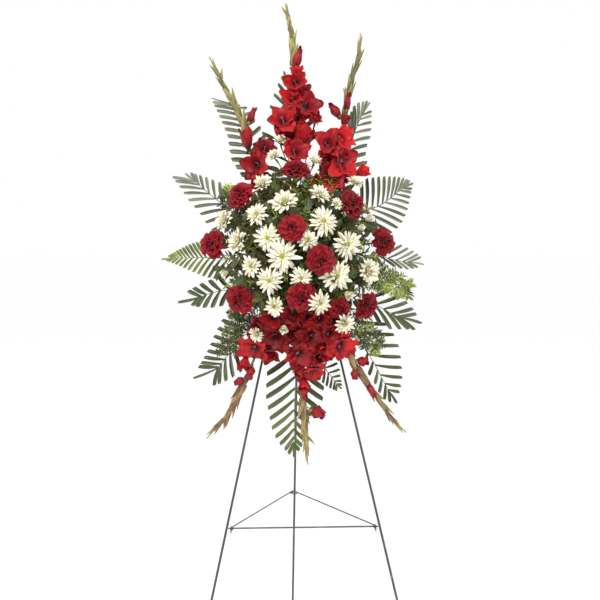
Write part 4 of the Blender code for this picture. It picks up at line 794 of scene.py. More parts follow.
def enamel_finish(name, paint, bare):
    """Dipped enamel on drawn wire: dark green-grey, half gloss, a little uneven in thickness,
    with rubbed spots where the metal dulls through."""
    tree, shader = finish(name, Roughness=0.38, IOR=1.5, Coat_Weight=0.2, Coat_Roughness=0.25)
    worn(tree, shader, paint, bare, 3.0 * MM, 40 * MM, 4.0, 0.60, 0.72, 0.35, 0.15 * MM)


def plastic_finish(name, green, scuffed):
    """Injection-moulded polypropylene: mid-gloss green with a faint mould grain and paler
    scuffs."""
    tree, shader = finish(name, Roughness=0.42, IOR=1.49)
    worn(tree, shader, green, scuffed, 0.8 * MM, 50 / 3 * MM, 5.0, 0.55, 0.75, 0.3, 0.1 * MM)


def foam_finish(name, green, pore_shade):
    """Wet phenolic floral foam: a dull dark green crumb with open pores, whose hollows hold painted
    shade, a darker green. The pores are drawn 1.5 mm apart, coarser than life, so that they show."""
    tree, shader = finish(name, Roughness=0.95, IOR=1.35)
    spot = add(tree, "TexCoord").node.outputs["Object"]
    pore = add(tree, "TexVoronoi", spot, 1 / (1.5 * MM))
    hollow = add(tree, "MapRange", pore, 0.1, 0.5)
    tone = add(tree, "Mix", hollow, pore_shade, green, data_type="RGBA")
    dress(tree, shader, tone, pore, 0.8, 0.6 * MM)


# Settings


class SprayFlowers(bpy.types.PropertyGroup):
    gladiolus: colour("Gladiolus", "#740814", "Floret colour of the gladioli")
    # Painted highlight: the lit scarlet that noise and tint scatter over the tepals
    gladiolus_highlight: colour("Gladiolus light", "#C4171C", "Scarlet of the lit tepals")
    # Painted shade: the throat colour darkens each tepal's base, deep in the floret
    gladiolus_throat_shade: colour("Gladiolus throat", "#3C030C", "Deep in a gladiolus floret")
    anther: colour("Anther", "#A8727A", "Stamens of the gladioli")
    carnation: colour("Carnation", "#6A0813", "Petal colour of the carnations")
    # Painted highlight: brought in at random over the carnation petals and, by a small share, at
    # their rims
    carnation_highlight: colour("Carnation light", "#9E0F1E", "Rims of the carnation petals")
    # Painted shade: darkens the base of the carnation petals, between them deep in the head
    carnation_shade: colour("Carnation depth", "#560913", "Between the carnation petals")
    mum: colour("Chrysanthemum", "#D9D3B8", "Ray petals of the chrysanthemums")
    mum_bright: colour("Chrysanthemum light", "#EAE6D3", "Palest part of a ray petal")
    mum_base: colour("Chrysanthemum base", "#B3B25C", "Base of a ray petal")
    mum_end: colour("Chrysanthemum tip", "#C3B6B4", "Tips of the older ray petals")
    mum_eye: colour("Chrysanthemum eye", "#99942E", "Disc in the middle of a chrysanthemum")
    petal_thickness: measure("Petal thickness", 0.5 * MM, 0.1 * MM, 2.0 * MM, "LENGTH",
                             "Thickness of a petal at its middle")
    frill: measure("Frill", 4.2 * MM, 0.0, 6.0 * MM, "LENGTH",
                   "Height of the folds on a carnation petal's rim")
    ruffle: measure("Ruffle", 4.2 * MM, 0.0, 8.0 * MM, "LENGTH",
                    "Height of the waves on a gladiolus tepal's edge")


class SprayGreens(bpy.types.PropertyGroup):
    palm_grey: colour("Palm grey", "#787A68", "Palm leaflets that turn their dull side")
    palm_dark: colour("Palm dark", "#394024", "Palm leaflets in their usual colour")
    palm_bright: colour("Palm bright", "#6D7B32", "Young palm leaflets")
    leaf_grey: colour("Leaf grey", "#665C38", "Oldest small leaves")
    leaf_dark: colour("Leaf dark", "#2C3116", "Small leaves in their usual colour")
    leaf_bright: colour("Leaf bright", "#8E9A3E", "Young small leaves")
    stem: colour("Stem", "#5F6E36", "Flower stems")
    bract_green: colour("Bract green", "#7A8148", "Fresh bracts of the gladioli")
    bract_olive: colour("Bract olive", "#9C9352", "Bracts that begin to dry")
    bract_tan: colour("Bract tan", "#7F5F40", "Dry bracts")
    bract_flush: colour("Bract flush", "#4F2A26", "Purplish brown at the base of a bract")
    leaflet_width: measure("Leaflet width", 1.3, 0.3, 1.5, "NONE",
                           "Width of the palm leaflets, as a multiple of the frond's own widths")
    leaf_thickness: measure("Leaf thickness", 0.6 * MM, 0.2 * MM, 2.0 * MM, "LENGTH",
                            "Thickness of a leaf at its middle")
    cover: measure("Cover", 1.0, 0.0, 2.0, "NONE",
                   "How many leafy sprigs stand between the blooms, 1 as shown")


class SprayHardware(bpy.types.PropertyGroup):
    enamel: colour("Enamel", "#2F3733", "Enamel of the easel's wire")
    enamel_worn: colour("Worn enamel", "#555D57", "Rubbed spots on the easel's wire")
    cage: colour("Cage", "#1B4A26", "Moulded cage round the foam")
    cage_scuffed: colour("Scuffed cage", "#33603A", "Scuffs on the cage")
    foam: colour("Foam", "#2D5A34", "Wet floral foam")
    # Painted shade: the dark inside each foam pore
    foam_pore_shade: colour("Foam pores", "#12301A", "Pores of the foam")
    wire_sides: IntProperty(name="Wire sides", description="Sides of a wire's round section",
                            default=16, min=6, max=32)


class SprayStudio(bpy.types.PropertyGroup):
    floor: colour("Floor", "#FEFEFE", "Plain pale floor")
    sky: measure("Room light", 1.0, 0.0, 3.0, "NONE", "Brightness of the white room")
    key: measure("Key light", 90.0, 0.0, 1000.0, "POWER",
                 "Power of the soft light above the camera")
    fill: measure("Fill light", 3.0, 0.0, 1000.0, "POWER",
                  "Power of the soft light at the right")
    lens: measure("Lens", 72.0, 10.0, 200.0, "CAMERA", "Focal length of the camera in mm")


# Easel


def wire(form, points, radius, soft=0.0, count=24, sides=None, reference=(1.0, 0.0, 0.0)):
    """One wire with rounded ends: the radius swells as a quarter circle over the first and last
    radius of its length."""
    path = eased(points, count, soft)
    start, end = unit(path[1] - path[0]), unit(path[-1] - path[-2])
    shares = np.array((0.0, 0.25, 0.6, 1.0))
    swell = radius * np.sqrt(1 - (1 - shares[:-1]) ** 2)
    swell[0] = 0.35 * radius
    first = path[0] + start * radius * shares[:, None] * 0.8
    last = path[-1] - end * radius * shares[::-1, None] * 0.8
    from_ends = np.linalg.norm(path[:, None] - path[[0, -1]], axis=-1).min(axis=1)
    path = np.concatenate([first, path[from_ends > radius], last])
    radii = np.concatenate([swell, np.full(len(path) - 6, radius), swell[::-1]])
    form.tube(path, radii, sides or bpy.context.scene.spray_hardware.wire_sides,
              reference=reference)


def loop(form, points, radius, sides=10, reference=(1.0, 0.0, 0.0)):
    """A closed ring of wire: a tube whose last ring joins the first."""
    path = np.asarray(points, float)
    way = unit(np.roll(path, -1, axis=0) - np.roll(path, 1, axis=0))
    radii = np.broadcast_to(radius, len(path))
    number = ring_numbers(len(path), sides)
    number = np.concatenate([number, number[:1]], axis=0)
    form.put(rings(path, way, radii, sides, reference).reshape(-1, 3), cells(number))


def easel_wire(name, points, radius, body="stand", **shape):
    """A wire of the easel that is a piece of its own."""
    form = Form()
    wire(form, points, radius, **shape)
    form.build(name + "_wire", "dipped_enamel", "easel_green", [name], body)


class SPRAY_OT_easel(bpy.types.Operator):
    """Makes the folding easel of enamelled wire"""
    bl_idname = "spray.easel"
    bl_label = "Easel"

    def execute(self, context):
        hardware = context.scene.spray_hardware
        enamel_finish("dipped_enamel", hardware.enamel, hardware.enamel_worn)
        for side, name in ((-1, "leg_left"), (1, "leg_right")):
            ends = [(EASEL_X + side * leg_offset(z), leg_plane_y(z), z)
                    for z in (0.0, LEG_TOP_Z)]
            easel_wire(name, ends, LEG_RADIUS)
        self.rear_leg()
        for name, z, radius in (("hinge_bar", HINGE_Z, HINGE_RADIUS),
                                ("brace_front", BRACE_Z, BRACE_FRONT_RADIUS)):
            half = leg_offset(z + radius) - LEG_RADIUS * math.hypot(1, LEG_SPLAY) - TOUCH_GAP
            middle = np.array((EASEL_X, leg_plane_y(z), z))
            easel_wire(name, [middle - (half, 0, 0), middle + (half, 0, 0)], radius,
                       reference=(0.0, 0.0, 1.0))
        self.rear_braces()
        return {"FINISHED"}

    def rear_leg(self):
        """The rear leg: its eye round the hinge bar, its shank and the catch for the brace."""
        middle = np.array((EASEL_X, leg_plane_y(HINGE_Z), HINGE_Z))
        eye_radius = HINGE_RADIUS + EYE_CLEARANCE + LEG_RADIUS
        down = unit(np.array((0.0, REAR_LEG_SLOPE, -1.0)))
        turn = np.linspace(0, 2 * math.pi, 28, endpoint=False)[:, None]
        form = Form()
        loop(form, middle + eye_radius * np.concatenate(
            [0 * turn, np.cos(turn), np.sin(turn)], axis=1), LEG_RADIUS)
        foot = middle + down * HINGE_Z / -down[2]
        wire(form, [middle + down * eye_radius, foot], LEG_RADIUS)
        behind = LEG_RADIUS + CATCH_SINK
        catch = []
        for x, below in ((-CATCH_SPREAD, CATCH_BELOW), (0.0, CATCH_APEX_BELOW),
                         (CATCH_SPREAD, CATCH_BELOW)):
            z = BRACE_Z - below
            catch.append((EASEL_X + x, rear_leg_y(z) + behind, z))
        wire(form, catch, CATCH_RADIUS, soft=6 * MM, sides=8, reference=(0.0, 1.0, 0.0))
        form.build("leg_rear_wire", "dipped_enamel", "easel_green", ["leg_rear"], "rear_leg")

    def rear_braces(self):
        """The two arms of the rear brace. The right arm passes behind the rear leg in a bend
        and ends in a tail, on which the end of the left arm lies."""
        crotch = np.array((EASEL_X, rear_leg_y(BRACE_Z), BRACE_Z))
        run = unit(np.array((-BRACE_EYE_X, crotch[1] - leg_plane_y(BRACE_Z), 0.0)))
        opening = math.atan2(-run[0], run[1])
        angle = np.linspace(opening, math.pi - opening, 10)
        bend = crotch + CROTCH_RADIUS * np.stack([np.cos(angle), np.sin(angle), 0 * angle], 1)
        tail = bend[-1] + CROTCH_TAIL * np.array((run[0], -run[1], 0.0))
        above = np.array((0.0, 0.0, 2 * BRACE_REAR_RADIUS + TOUCH_GAP))
        for name, side, rest in (("brace_rear_right", 1, [*bend, tail]),
                                 ("brace_rear_left", -1, [tail + above, bend[-1] + above])):
            easel_wire(name, [*self.eye(side), *rest], BRACE_REAR_RADIUS, "rear_brace",
                       soft=2 * MM, count=200, sides=8, reference=(0.35 * side, 0.2, 1.0))

    def eye(self, side):
        """The wound eye round the front brace: a helix, with a hanging tail before it."""
        left = BRACE_EYE_TURNS * (1 - np.linspace(0, 1, 25))
        angle = math.pi / 2 + 2 * math.pi * left
        middle = np.array((EASEL_X + side * BRACE_EYE_X, leg_plane_y(BRACE_Z), BRACE_Z))
        shift = side * BRACE_EYE_PITCH * left
        points = middle + np.stack([shift, BRACE_EYE_RADIUS * np.cos(angle),
                                    BRACE_EYE_RADIUS * np.sin(angle)], axis=1)
        return [points[0] + (0.0, 0.0, -BRACE_TAIL), *points]


# Holder


def rounded_block(form, low, high, radius, step, rough, seed):
    """A block with rounded edges in the holder's frame (x, out, along). Points are laid on the
    six faces, then each is pulled to the radius round the nearest point of the inner block.
    Rough draws each in by a random share of that length. The frame is left-handed, so the
    faces' corners run the other way round."""
    low, high = np.asarray(low, float), np.asarray(high, float)
    counts = np.maximum(2, np.round((high - low) / step).astype(int) + 1)
    faces, spots, number = [], [], 0
    for axis in range(3):
        first, second = (axis + 1) % 3, (axis + 2) % 3
        a = np.linspace(low[first], high[first], counts[first])
        b = np.linspace(low[second], high[second], counts[second])
        for level, way in ((low[axis], -1), (high[axis], 1)):
            spot = np.zeros((len(a), len(b), 3))
            spot[..., first], spot[..., second], spot[..., axis] = a[:, None], b[None], level
            grid = number + np.arange(len(a) * len(b)).reshape(len(a), len(b))
            number += grid.size
            faces.append(cells(grid)[:, ::way])
            spots.append(spot.reshape(-1, 3))
    spots, faces = np.concatenate(spots), np.concatenate(faces)
    _, kept, index = np.unique(np.round(spots / 1e-6).astype(np.int64), axis=0,
                               return_index=True, return_inverse=True)
    spots, faces = spots[kept], index.reshape(-1)[faces]
    inner = np.clip(spots, low + radius, high - radius)
    depth = radius - rough * np.random.default_rng(seed).random(len(spots))[:, None]
    spots = inner + unit(spots - inner) * depth
    form.put(in_holder(*spots.T), faces)


def tie_middle(side):
    """How far across the leg stands that a tie holds."""
    return side * leg_offset(float(in_holder(0.0, 0.0, TIE_HEIGHT)[2]))


class SPRAY_OT_holder(bpy.types.Operator):
    """Makes the foam block and its wire ties, and finishes the moulded cage"""
    bl_idname = "spray.holder"
    bl_label = "Foam holder"

    def execute(self, context):
        hardware = context.scene.spray_hardware
        foam_finish("wet_floral_foam", hardware.foam, hardware.foam_pore_shade)
        plastic_finish("moulded_polypropylene", hardware.cage, hardware.cage_scuffed)
        enamel_finish("lacquered_florist_wire", hardware.cage, hardware.enamel_worn)
        form = Form()
        rounded_block(form, (-FOAM_WIDTH / 2, FOAM_BACK, -FOAM_HEIGHT / 2),
                      (FOAM_WIDTH / 2, FOAM_FRONT, FOAM_HEIGHT / 2), radius=2.5 * MM,
                      step=4.5 * MM, rough=0.5 * MM, seed=5)
        form.build("foam", "wet_floral_foam", "foam_green", ["foam_block"])
        for name in ("cage_tray", "cage_grid"):
            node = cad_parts[name]
            node.data.materials.clear()
            node.data.materials.append(bpy.data.materials["moulded_polypropylene"])
        front = PLATE_FRONT + TOUCH_GAP + TIE_RADIUS
        back = -(LEG_RADIUS + TOUCH_GAP + TIE_RADIUS)
        right_half = ((TIE_SLOT_SPREAD, front), (TIE_SLOT_SPREAD, PLATE_BACK - 2 * MM),
                      (TIE_BACK_SPREAD, back))
        outline = [(-TIE_SLOT_SPREAD, front), *right_half,
                   *((-x, out) for x, out in right_half[:0:-1])]
        for name, side in (("tie_left", -1), ("tie_right", 1)):
            middle = tie_middle(side)
            points = [in_holder(middle + x, out, TIE_HEIGHT) for x, out in outline]
            points = eased([*points, points[0]], 49, 1.5 * MM)[:-1]
            form = Form()
            loop(form, points, TIE_RADIUS, 8, reference=(0.0, 0.2, 1.0))
            form.build(name + "_wire", "lacquered_florist_wire", "tie_green", [name])
        return {"FINISHED"}


# Gladioli

# A floret's tube leaves the stem this far below it, and not in the first steps of the walk
# along the stem. Near the foam's edge it runs past it with room. A floret looks the way that a
# head would at this share of its distance from the dome's middle
FLORET_REACH = 0.025
EDGE_NEAR = 0.008
EDGE_ROOM = (0.010, 0.004)
FLORET_DOME = 0.5
WALK_STEP = 2.0 * MM
ROOT_FREE = 22

# Tepals are drawn in mm, for a floret whose radius is the first of these
FLORET_RADIUS = 0.040
TEPAL_LENGTH = 42.0
TEPAL_ROWS = 13
THROAT_RADIUS = 3.5
THROAT_DEPTH = 20.0
ANTHER_RADII = (0.5, 0.5, 0.5, 0.5, 0.9, 1.0, 0.4)
BUD_SIZE = (0.0115, 0.0115, 0.035)
SPIKE_REFERENCE = (0.9, 0.3, 0.1)
SPIKE_RADII = (3.6 * MM, 3.6 * MM, 1.4 * MM)
TUBE_RADII = (2.4 * MM, 3.2 * MM, 5.0 * MM)

# Bracts at a spike's tip: how many, how far they start from the last floret, and their length,
# radius and spread at the first one, with what each loses towards the tip
BRACTS = 11
BRACTS_FROM = 0.022
BRACT_LENGTH = (0.070, 0.022)
BRACT_RADIUS = (12.0, 5.4)
BRACT_SPREAD = (13.0, 6.0)


def along_stem(path):
    """Places every 2 mm along a stem, with the distance and the way at each."""
    length = np.linalg.norm(np.diff(path, axis=0), axis=1).sum()
    count = max(2, round(length / WALK_STEP))
    spots = eased(path, count)
    return np.linspace(0, length, count), spots, unit(np.gradient(spots, axis=0))


def nearest(spots, point):
    """The number of the place along a stem that lies nearest to the point."""
    return int(np.argmin(np.linalg.norm(spots - point, axis=1)))


def round_the_foam(throat):
    """A point before the foam's edge, for a floret whose throat is level with the foam."""
    offset = throat - np.array((EASEL_X, leg_plane_y(HOLDER_Z), HOLDER_Z))
    along = offset[1] * math.sin(LEAN) + offset[2] * math.cos(LEAN)
    if abs(along) > FOAM_HEIGHT / 2 + EDGE_NEAR:
        return []
    side = math.copysign(FOAM_HEIGHT / 2 + EDGE_ROOM[0], along)
    return [in_holder(offset[0], FOAM_FRONT + EDGE_ROOM[1], side)]


def tepals(rng, opening, first, last, wide, whorl, ruffle, power=0.75):
    """Three tepals in mm. A tepal's middle line leaves the throat at the first angle to the
    axis and bends evenly to the last one, and reach and rise are its sines and cosines summed
    up. Across it bends round the axis, the less the further out it is. Its half width is a sine
    of the length that ends in a point, its edges ripple, small folds run out along it, and its
    middle sinks to a groove."""
    u, v = sheet(TEPAL_ROWS, 9)
    turns = (np.arange(3) * 2 + whorl) * math.pi / 3 + rng.normal(0, 0.14, 3)
    size = 1 + rng.normal(0, 0.08, (3, 1, 1))
    last = last + rng.normal(0, 0.05 + 0.28 * opening, (3, 1, 1))
    angle = first + (last - first) * u**0.8
    step = TEPAL_LENGTH * size / (TEPAL_ROWS - 1)
    reach = THROAT_RADIUS + (np.cumsum(np.sin(angle), axis=1) - np.sin(angle[:, :1])) * step
    rise = -THROAT_DEPTH + (np.cumsum(np.cos(angle), axis=1) - np.cos(angle[:, :1])) * step
    half = wide * size * np.sin(math.pi * (0.06 + 0.93 * u) ** 0.80) ** power
    bend = np.maximum(reach + 3, 5) * (1 + 2.2 * opening * u)
    turn = half * v / bend
    phase = rng.uniform(0, 6.28, (3, 1, 1))
    waves = np.sin(2 * math.pi * 2.7 * u + phase + 1.7 * v) * np.abs(v) ** 1.5 * u
    folds = np.sin(3.3 * math.pi * v + phase) * 0.35 * u
    lift = bend * (1 - np.cos(turn)) + (waves + folds) * ruffle * (0.25 + 0.75 * opening)
    lift = lift - 2.0 * (1 - np.abs(v)) ** 2 * np.sin(math.pi * u)
    lift = lift + rng.normal(0, 0.2, (3, 1, 1)) * half * v * u * opening
    return petals(turns, reach - np.cos(angle) * lift, rise + np.sin(angle) * lift,
                  bend * np.sin(turn))


def floret(form, radius, matrix, rng, flowers, opening, tints):
    """A gladiolus floret: an outer and an inner whorl of tepals, the inner ones broader, and in
    an open one three stamens that lean against the upper tepal."""
    scale = radius / FLORET_RADIUS
    tone = rng.uniform(*tints)
    first, last = math.radians(12 + 16 * opening), math.radians(-22 + 122 * opening)
    for whorl, wide in ((0, 15.5), (1, 18.5)):
        grid = tepals(rng, opening, first - 0.10 * whorl, last - 0.15 * whorl, wide, whorl,
                      flowers.ruffle / MM)
        form.blades(moved(grid * scale, matrix), flowers.petal_thickness,
                    tint=np.clip(tone + rng.normal(0, 0.16, 3), 0.0, 1.0))
    if opening < 0.6:
        return
    for turn in (-0.4, 0.0, 0.4):
        tip = np.array((math.sin(turn) * 7, math.cos(turn) * 4 + 3, -2.0)) * MM * scale
        root = np.array((0.0, 0.0, -19.0)) * MM * scale
        bend = (tip + root) / 2 + np.array((0, 2.5, 0)) * MM * scale
        path = moved(eased([root, bend, tip], 7, 6 * MM), matrix)
        form.tube(path, np.array(ANTHER_RADII) * MM * scale, 5, part=1,
                  reference=(0.31, 0.2, 0.9))


def bud(form, base, end, radius, rng, flowers):
    """A red bud from base to end: tepals wrapped round each other, which swell and close
    again, drawn to the bud's radius and length."""
    matrix = aim(base, end - base, rng.uniform(0, 6))
    stretch = np.array((radius, radius, np.linalg.norm(end - base))) / BUD_SIZE
    for whorl in (0, 1):
        grid = tepals(rng, 0.0, 0.95, -1.05, 17.0, whorl, 4.0, 0.4)
        grid = grid + (0.0, 0.0, THROAT_DEPTH * MM)
        form.blades(moved(grid * stretch, matrix), flowers.petal_thickness,
                    tint=rng.uniform(0.0, 0.4, 3))


def bract(form, base, way, side, length, radius, spread, tint, dry):
    """A sheathing bract. Its middle line leaves the base along the stem and turns aside with
    the square of the length. Each cross-section is an arc that wraps round the stem, from
    almost three quarters of a turn at the base to a third at the tip, and whose radius is a
    sine of the length."""
    way, side = unit(way), unit(side - way * (side @ way))
    other = np.cross(way, side)
    u = np.linspace(0, 1, 11)[:, None]
    v = np.linspace(-1, 1, 9)[None]
    size = radius * np.sin(math.pi * (0.16 + 0.83 * u) ** 0.86) ** 0.7
    turn = (2.1 - 1.2 * u) * v
    out = spread * u**1.8 + size * (np.cos(turn) - 0.45)
    middle = (base + (way * length * u)[:, None] + side * out[..., None]
              + other * (size * np.sin(turn))[..., None])
    form.blades(middle[None], 0.5 * MM, tint, dry)


def florets_on(stem, plan, red, green, rng, flowers):
    """The florets of a spike. Each ends a tube that leaves the stem below it between two bracts.
    Gives how far along the stem the last one stands."""
    stops, spots, _ = stem
    last = 0.0
    for across, up, radius, out, turn, tip, opening in rows_in_metres(plan["florets"]):
        middle = place(across, up, out)
        beside = nearest(spots, middle)
        last = max(last, stops[beside])
        base = spots[max(ROOT_FREE, beside - round(FLORET_REACH / WALK_STEP))]
        look = facing(FLORET_DOME * across,
                      DOME_MIDDLE_Z + FLORET_DOME * (up - DOME_MIDDLE_Z), turn, tip)
        throat = middle - look * THROAT_DEPTH * MM * radius / FLORET_RADIUS
        tube = eased([base, *round_the_foam(throat), throat - look * 0.012, throat], 10, 0.02)
        radii = np.interp(np.linspace(0, 1, 10), (0, 0.6, 1), TUBE_RADII)
        red.tube(tube, radii, 9, tint=0.1, reference=(0.9, 0.1, 0.4))
        # Painted light: each floret's tepals take a tint from the plan's range, and a higher tint
        # paints more of the lit scarlet
        floret(red, radius, aim(middle, look, 0.5 + across * 9), rng, flowers, opening,
               plan["painted_light"])
        way = unit(tube[3] - base)
        for bow in (-1, 1):
            bract(green, base, way, np.cross(way, look) * bow, 0.036, 5.0 * MM, 4.0 * MM,
                  rng.uniform(0.2, 0.8), plan["dry"] * 0.8)
    return last


def braid(stem, first, plan, red, green, rng, flowers):
    """Bracts in two rows from the first distance along the stem to its end, each shorter and
    slimmer than the one before, with a small red bud in the second one."""
    stops, spots, ways = stem
    for index in range(BRACTS):
        share = index / (BRACTS - 1)
        length, radius, spread = (start - loss * share for start, loss in
                                  (BRACT_LENGTH, BRACT_RADIUS, BRACT_SPREAD))
        stop = first + (stops[-1] - 1.04 * length - first) * share
        at = int(np.searchsorted(stops, stop).clip(0, len(stops) - 1))
        base, way = spots[at], ways[at]
        side = np.cross(way, (0.0, 1.0, 0.0)) * (1 if index % 2 else -1)
        side = unit(side) + np.array((0.0, -1.0, 0.0)) * rng.uniform(-0.2, 0.6)
        spread = spread * MM * rng.uniform(0.4, 1.3)
        bract(green, base, way, side, length * rng.uniform(0.88, 1.1), radius * MM, spread,
              rng.uniform(0.0, 1.0), plan["dry"] + rng.uniform(-0.3, 0.3) - 0.2 * share)
        if index == 1:
            start = base + way * 0.016
            end = start + way * length * 0.5 + unit(side) * spread * 0.9
            bud(red, start, end, 3.6 * MM, rng, flowers)


def buds_on(stem, plan, red, green, rng, flowers):
    """The red buds of a spike, each on a short stalk between two bracts."""
    spots = stem[1]
    for across, up, radius, length in rows_in_metres(plan["buds"]):
        middle = place(across, up, metres(plan["stem"][1][2]) + 0.014)
        base = spots[max(0, nearest(spots, middle) - round(0.6 * length / WALK_STEP))]
        way = unit(middle - base)
        bud(red, middle - way * length * 0.55, middle + way * length * 0.5, radius, rng,
            flowers)
        green.tube(eased([base, middle - way * length * 0.4], 6), 1.6 * MM, 7, tint=0.4,
                   part=plan["dry"] * 0.5, reference=SPIKE_REFERENCE)
        for bow in (-1, 1):
            bract(green, middle - way * length * 0.62, way,
                  np.cross(way, (0.0, 1.0, 0.0)) * bow, length * 0.55, radius * 0.8,
                  radius * 0.4, rng.uniform(0.2, 0.8), plan["dry"] * 0.9)


def gladiolus(name, plan, seed, flowers):
    """A spike: a tapering stem with its florets, then a braid of bracts, one more bract that
    ends in the second tip, and the red buds."""
    rng = np.random.default_rng(seed)
    path = np.concatenate([table_root(plan["root"]), place(*metres(plan["stem"]).T)])
    stem = along_stem(path)
    green, red = Form(), Form()
    radii = np.interp(np.linspace(0, 1, 60), (0, 0.25, 1), SPIKE_RADII)
    green.tube(eased(path, 60, 0.02), radii, 8, tint=0.35, part=0.1, reference=SPIKE_REFERENCE)
    last = florets_on(stem, plan, red, green, rng, flowers)
    braid(stem, last + BRACTS_FROM, plan, red, green, rng, flowers)
    second = place(*metres(plan["second_tip"]))
    start = stem[1][max(0, nearest(stem[1], second) - 14)]
    reach = second - start
    bract(green, start, reach, np.cross(reach, (0.0, 1.0, 0.0)), np.linalg.norm(reach),
          6.5 * MM, 0.0, 0.6, plan["dry"])
    buds_on(stem, plan, red, green, rng, flowers)
    red.build(name + "_florets", "gladiolus_tepal", "gladiolus_red", [name])
    green.build(name + "_spike", "gladiolus_bract", "gladiolus_red")


class SPRAY_OT_gladioli(bpy.types.Operator):
    """Makes the six gladiolus spikes"""
    bl_idname = "spray.gladioli"
    bl_label = "Gladioli"

    def execute(self, context):
        flowers, greens = context.scene.spray_flowers, context.scene.spray_greens
        petal_finish("gladiolus_tepal", flowers.gladiolus_throat_shade, flowers.gladiolus,
                     flowers.gladiolus_highlight, 0.45, 0.5, 33 / 1.5, 0.1, flowers.anther,
                     flowers.gladiolus, 0.0)
        bract_finish("gladiolus_bract", greens.bract_green, greens.bract_olive,
                     greens.bract_tan, greens.bract_flush)
        for seed, (name, plan) in enumerate(GLADIOLI.items(), 20):
            gladiolus(name, plan, seed, flowers)
        return {"FINISHED"}


# Carnations

# Tiers of petals from the outside in, in mm for a head as wide as the first of these: petals,
# their reach from the axis, how high their rims stand and their half width
CARNATION_WIDTH = 0.068
CARNATION_TIERS = ((8, 34.5, -5, 19), (8, 32, 2, 19), (7, 27, 8.5, 18), (6, 20.5, 14, 16),
                   (5, 13.5, 18, 14), (4, 7, 20, 10))
CALYX_RADII = (2.2, 5.4, 6.4, 6.9, 7.4, 8.0, 8.4)

# How far behind a head's middle its calyx starts and ends, and its stem bends and ends. A stem
# enters the foam at these shares of the head's place from the holder's middle
CALYX_BEHIND = (0.032, 0.008)
CARNATION_BEND = 0.042
CARNATION_STEM_END = 0.030
SIDE_ROOT = (0.6, 0.070)
FRONT_ROOT = (0.30, 0.55)


def carnation_tier(tier, scale, matrix, form, rng, flowers):
    """Fan-shaped petals. A petal's half width grows with the length, folds run out along it
    and deepen with the square of the length, and its rim is cut in teeth."""
    count, spread, top, wide = tier
    u, v = sheet(7, 15)
    teeth = np.where(np.arange(15) % 2, -0.9, 0.3) * (u > 0.99)
    turns, size = spaced(rng, count, 0.10, 0.07)
    angle = math.atan2(spread, top + 16)
    reach = 3 + (spread - 3) * u**1.4 * size - 2.0 * v**2 * u
    rise = -13 + (top + 13) * np.sin(u * math.pi / 2) ** 0.9
    rise = rise + rng.normal(0, 2.4, (count, 1, 1)) * u**2
    phase = rng.uniform(0, 6.28, (count, 1, 1))
    waves = np.sin(1.8 * math.pi * v + phase) + 0.4 * np.sin(7.3 * v + 2 * phase)
    lift = waves * flowers.frill / MM * u**2 * 0.85
    reach = reach - math.cos(angle) * lift + math.sin(angle) * teeth
    rise = rise + math.sin(angle) * lift + math.cos(angle) * teeth
    grid = petals(turns, reach, rise, (1.8 + (wide - 1.8) * u**1.2) * size * v) * scale
    # Painted shade: inner tiers get a lower tint and so less of the highlight colour, darker
    # towards the head's middle
    form.blades(moved(grid, matrix), flowers.petal_thickness,
                tint=np.clip(0.35 + 0.010 * spread + rng.normal(0, 0.22, count), 0, 1))


def carnation(name, plan, seed, flowers):
    """A carnation: tiers of petals from a spread outer one to an upright middle, a green calyx
    with five teeth, and a stem."""
    across, up, diameter, nudge, turn, tip = rows_in_metres([plan])[0]
    rng = np.random.default_rng(seed)
    middle = place(across, up, dome_out(across, up) + nudge)
    look = facing(across, up, turn, tip)
    matrix = aim(middle, look, 7 * across)
    scale = diameter / CARNATION_WIDTH
    red, green = Form(), Form()
    for tier in CARNATION_TIERS:
        carnation_tier(tier, scale, matrix, red, rng, flowers)
    if abs(across) > SIDE_ENTRY_ACROSS:
        spot = ("left" if across < 0 else "right", SIDE_ROOT[0] * (up - HOLDER_Z), SIDE_ROOT[1])
    else:
        spot = ("front", FRONT_ROOT[0] * across, FRONT_ROOT[1] * (up - HOLDER_Z))
    route = [*rooted(*spot), middle - look * CARNATION_BEND,
             middle - look * CARNATION_STEM_END * scale]
    green.tube(eased(route, 24, 0.03), 1.9 * MM, 8, tint=0.4, part=1.0)
    start, end = CALYX_BEHIND
    cup = middle + look * np.linspace(-start, -end, 7)[:, None] * scale
    green.tube(cup, np.array(CALYX_RADII) * MM * scale, 12, tint=0.6, part=1.5)
    u, v = sheet(5, 3)
    tooth = petals(np.arange(5) * 2 * math.pi / 5, 8.2 + 3.0 * u, -9 + 7 * u,
                   (4.4 * (1 - u) + 0.3) * v)
    green.blades(moved(tooth * scale, matrix), 0.6 * MM, tint=0.6, part=1.5)
    red.build(name + "_petals", "carnation_petal", "carnation_red", [name])
    green.build(name + "_stem", "flower_stem", "filler_green")


class SPRAY_OT_carnations(bpy.types.Operator):
    """Makes the eleven carnations"""
    bl_idname = "spray.carnations"
    bl_label = "Carnations"

    def execute(self, context):
        flowers = context.scene.spray_flowers
        petal_finish("carnation_petal", flowers.carnation_shade, flowers.carnation,
                     flowers.carnation_highlight, 0.6, 0.65, 36 / 4.5, 0.08, flowers.carnation,
                     flowers.carnation_highlight, 0.12)
        for seed, (name, plan) in enumerate(CARNATIONS.items(), 40):
            carnation(name, plan, seed, flowers)
        return {"FINISHED"}


# Chrysanthemums

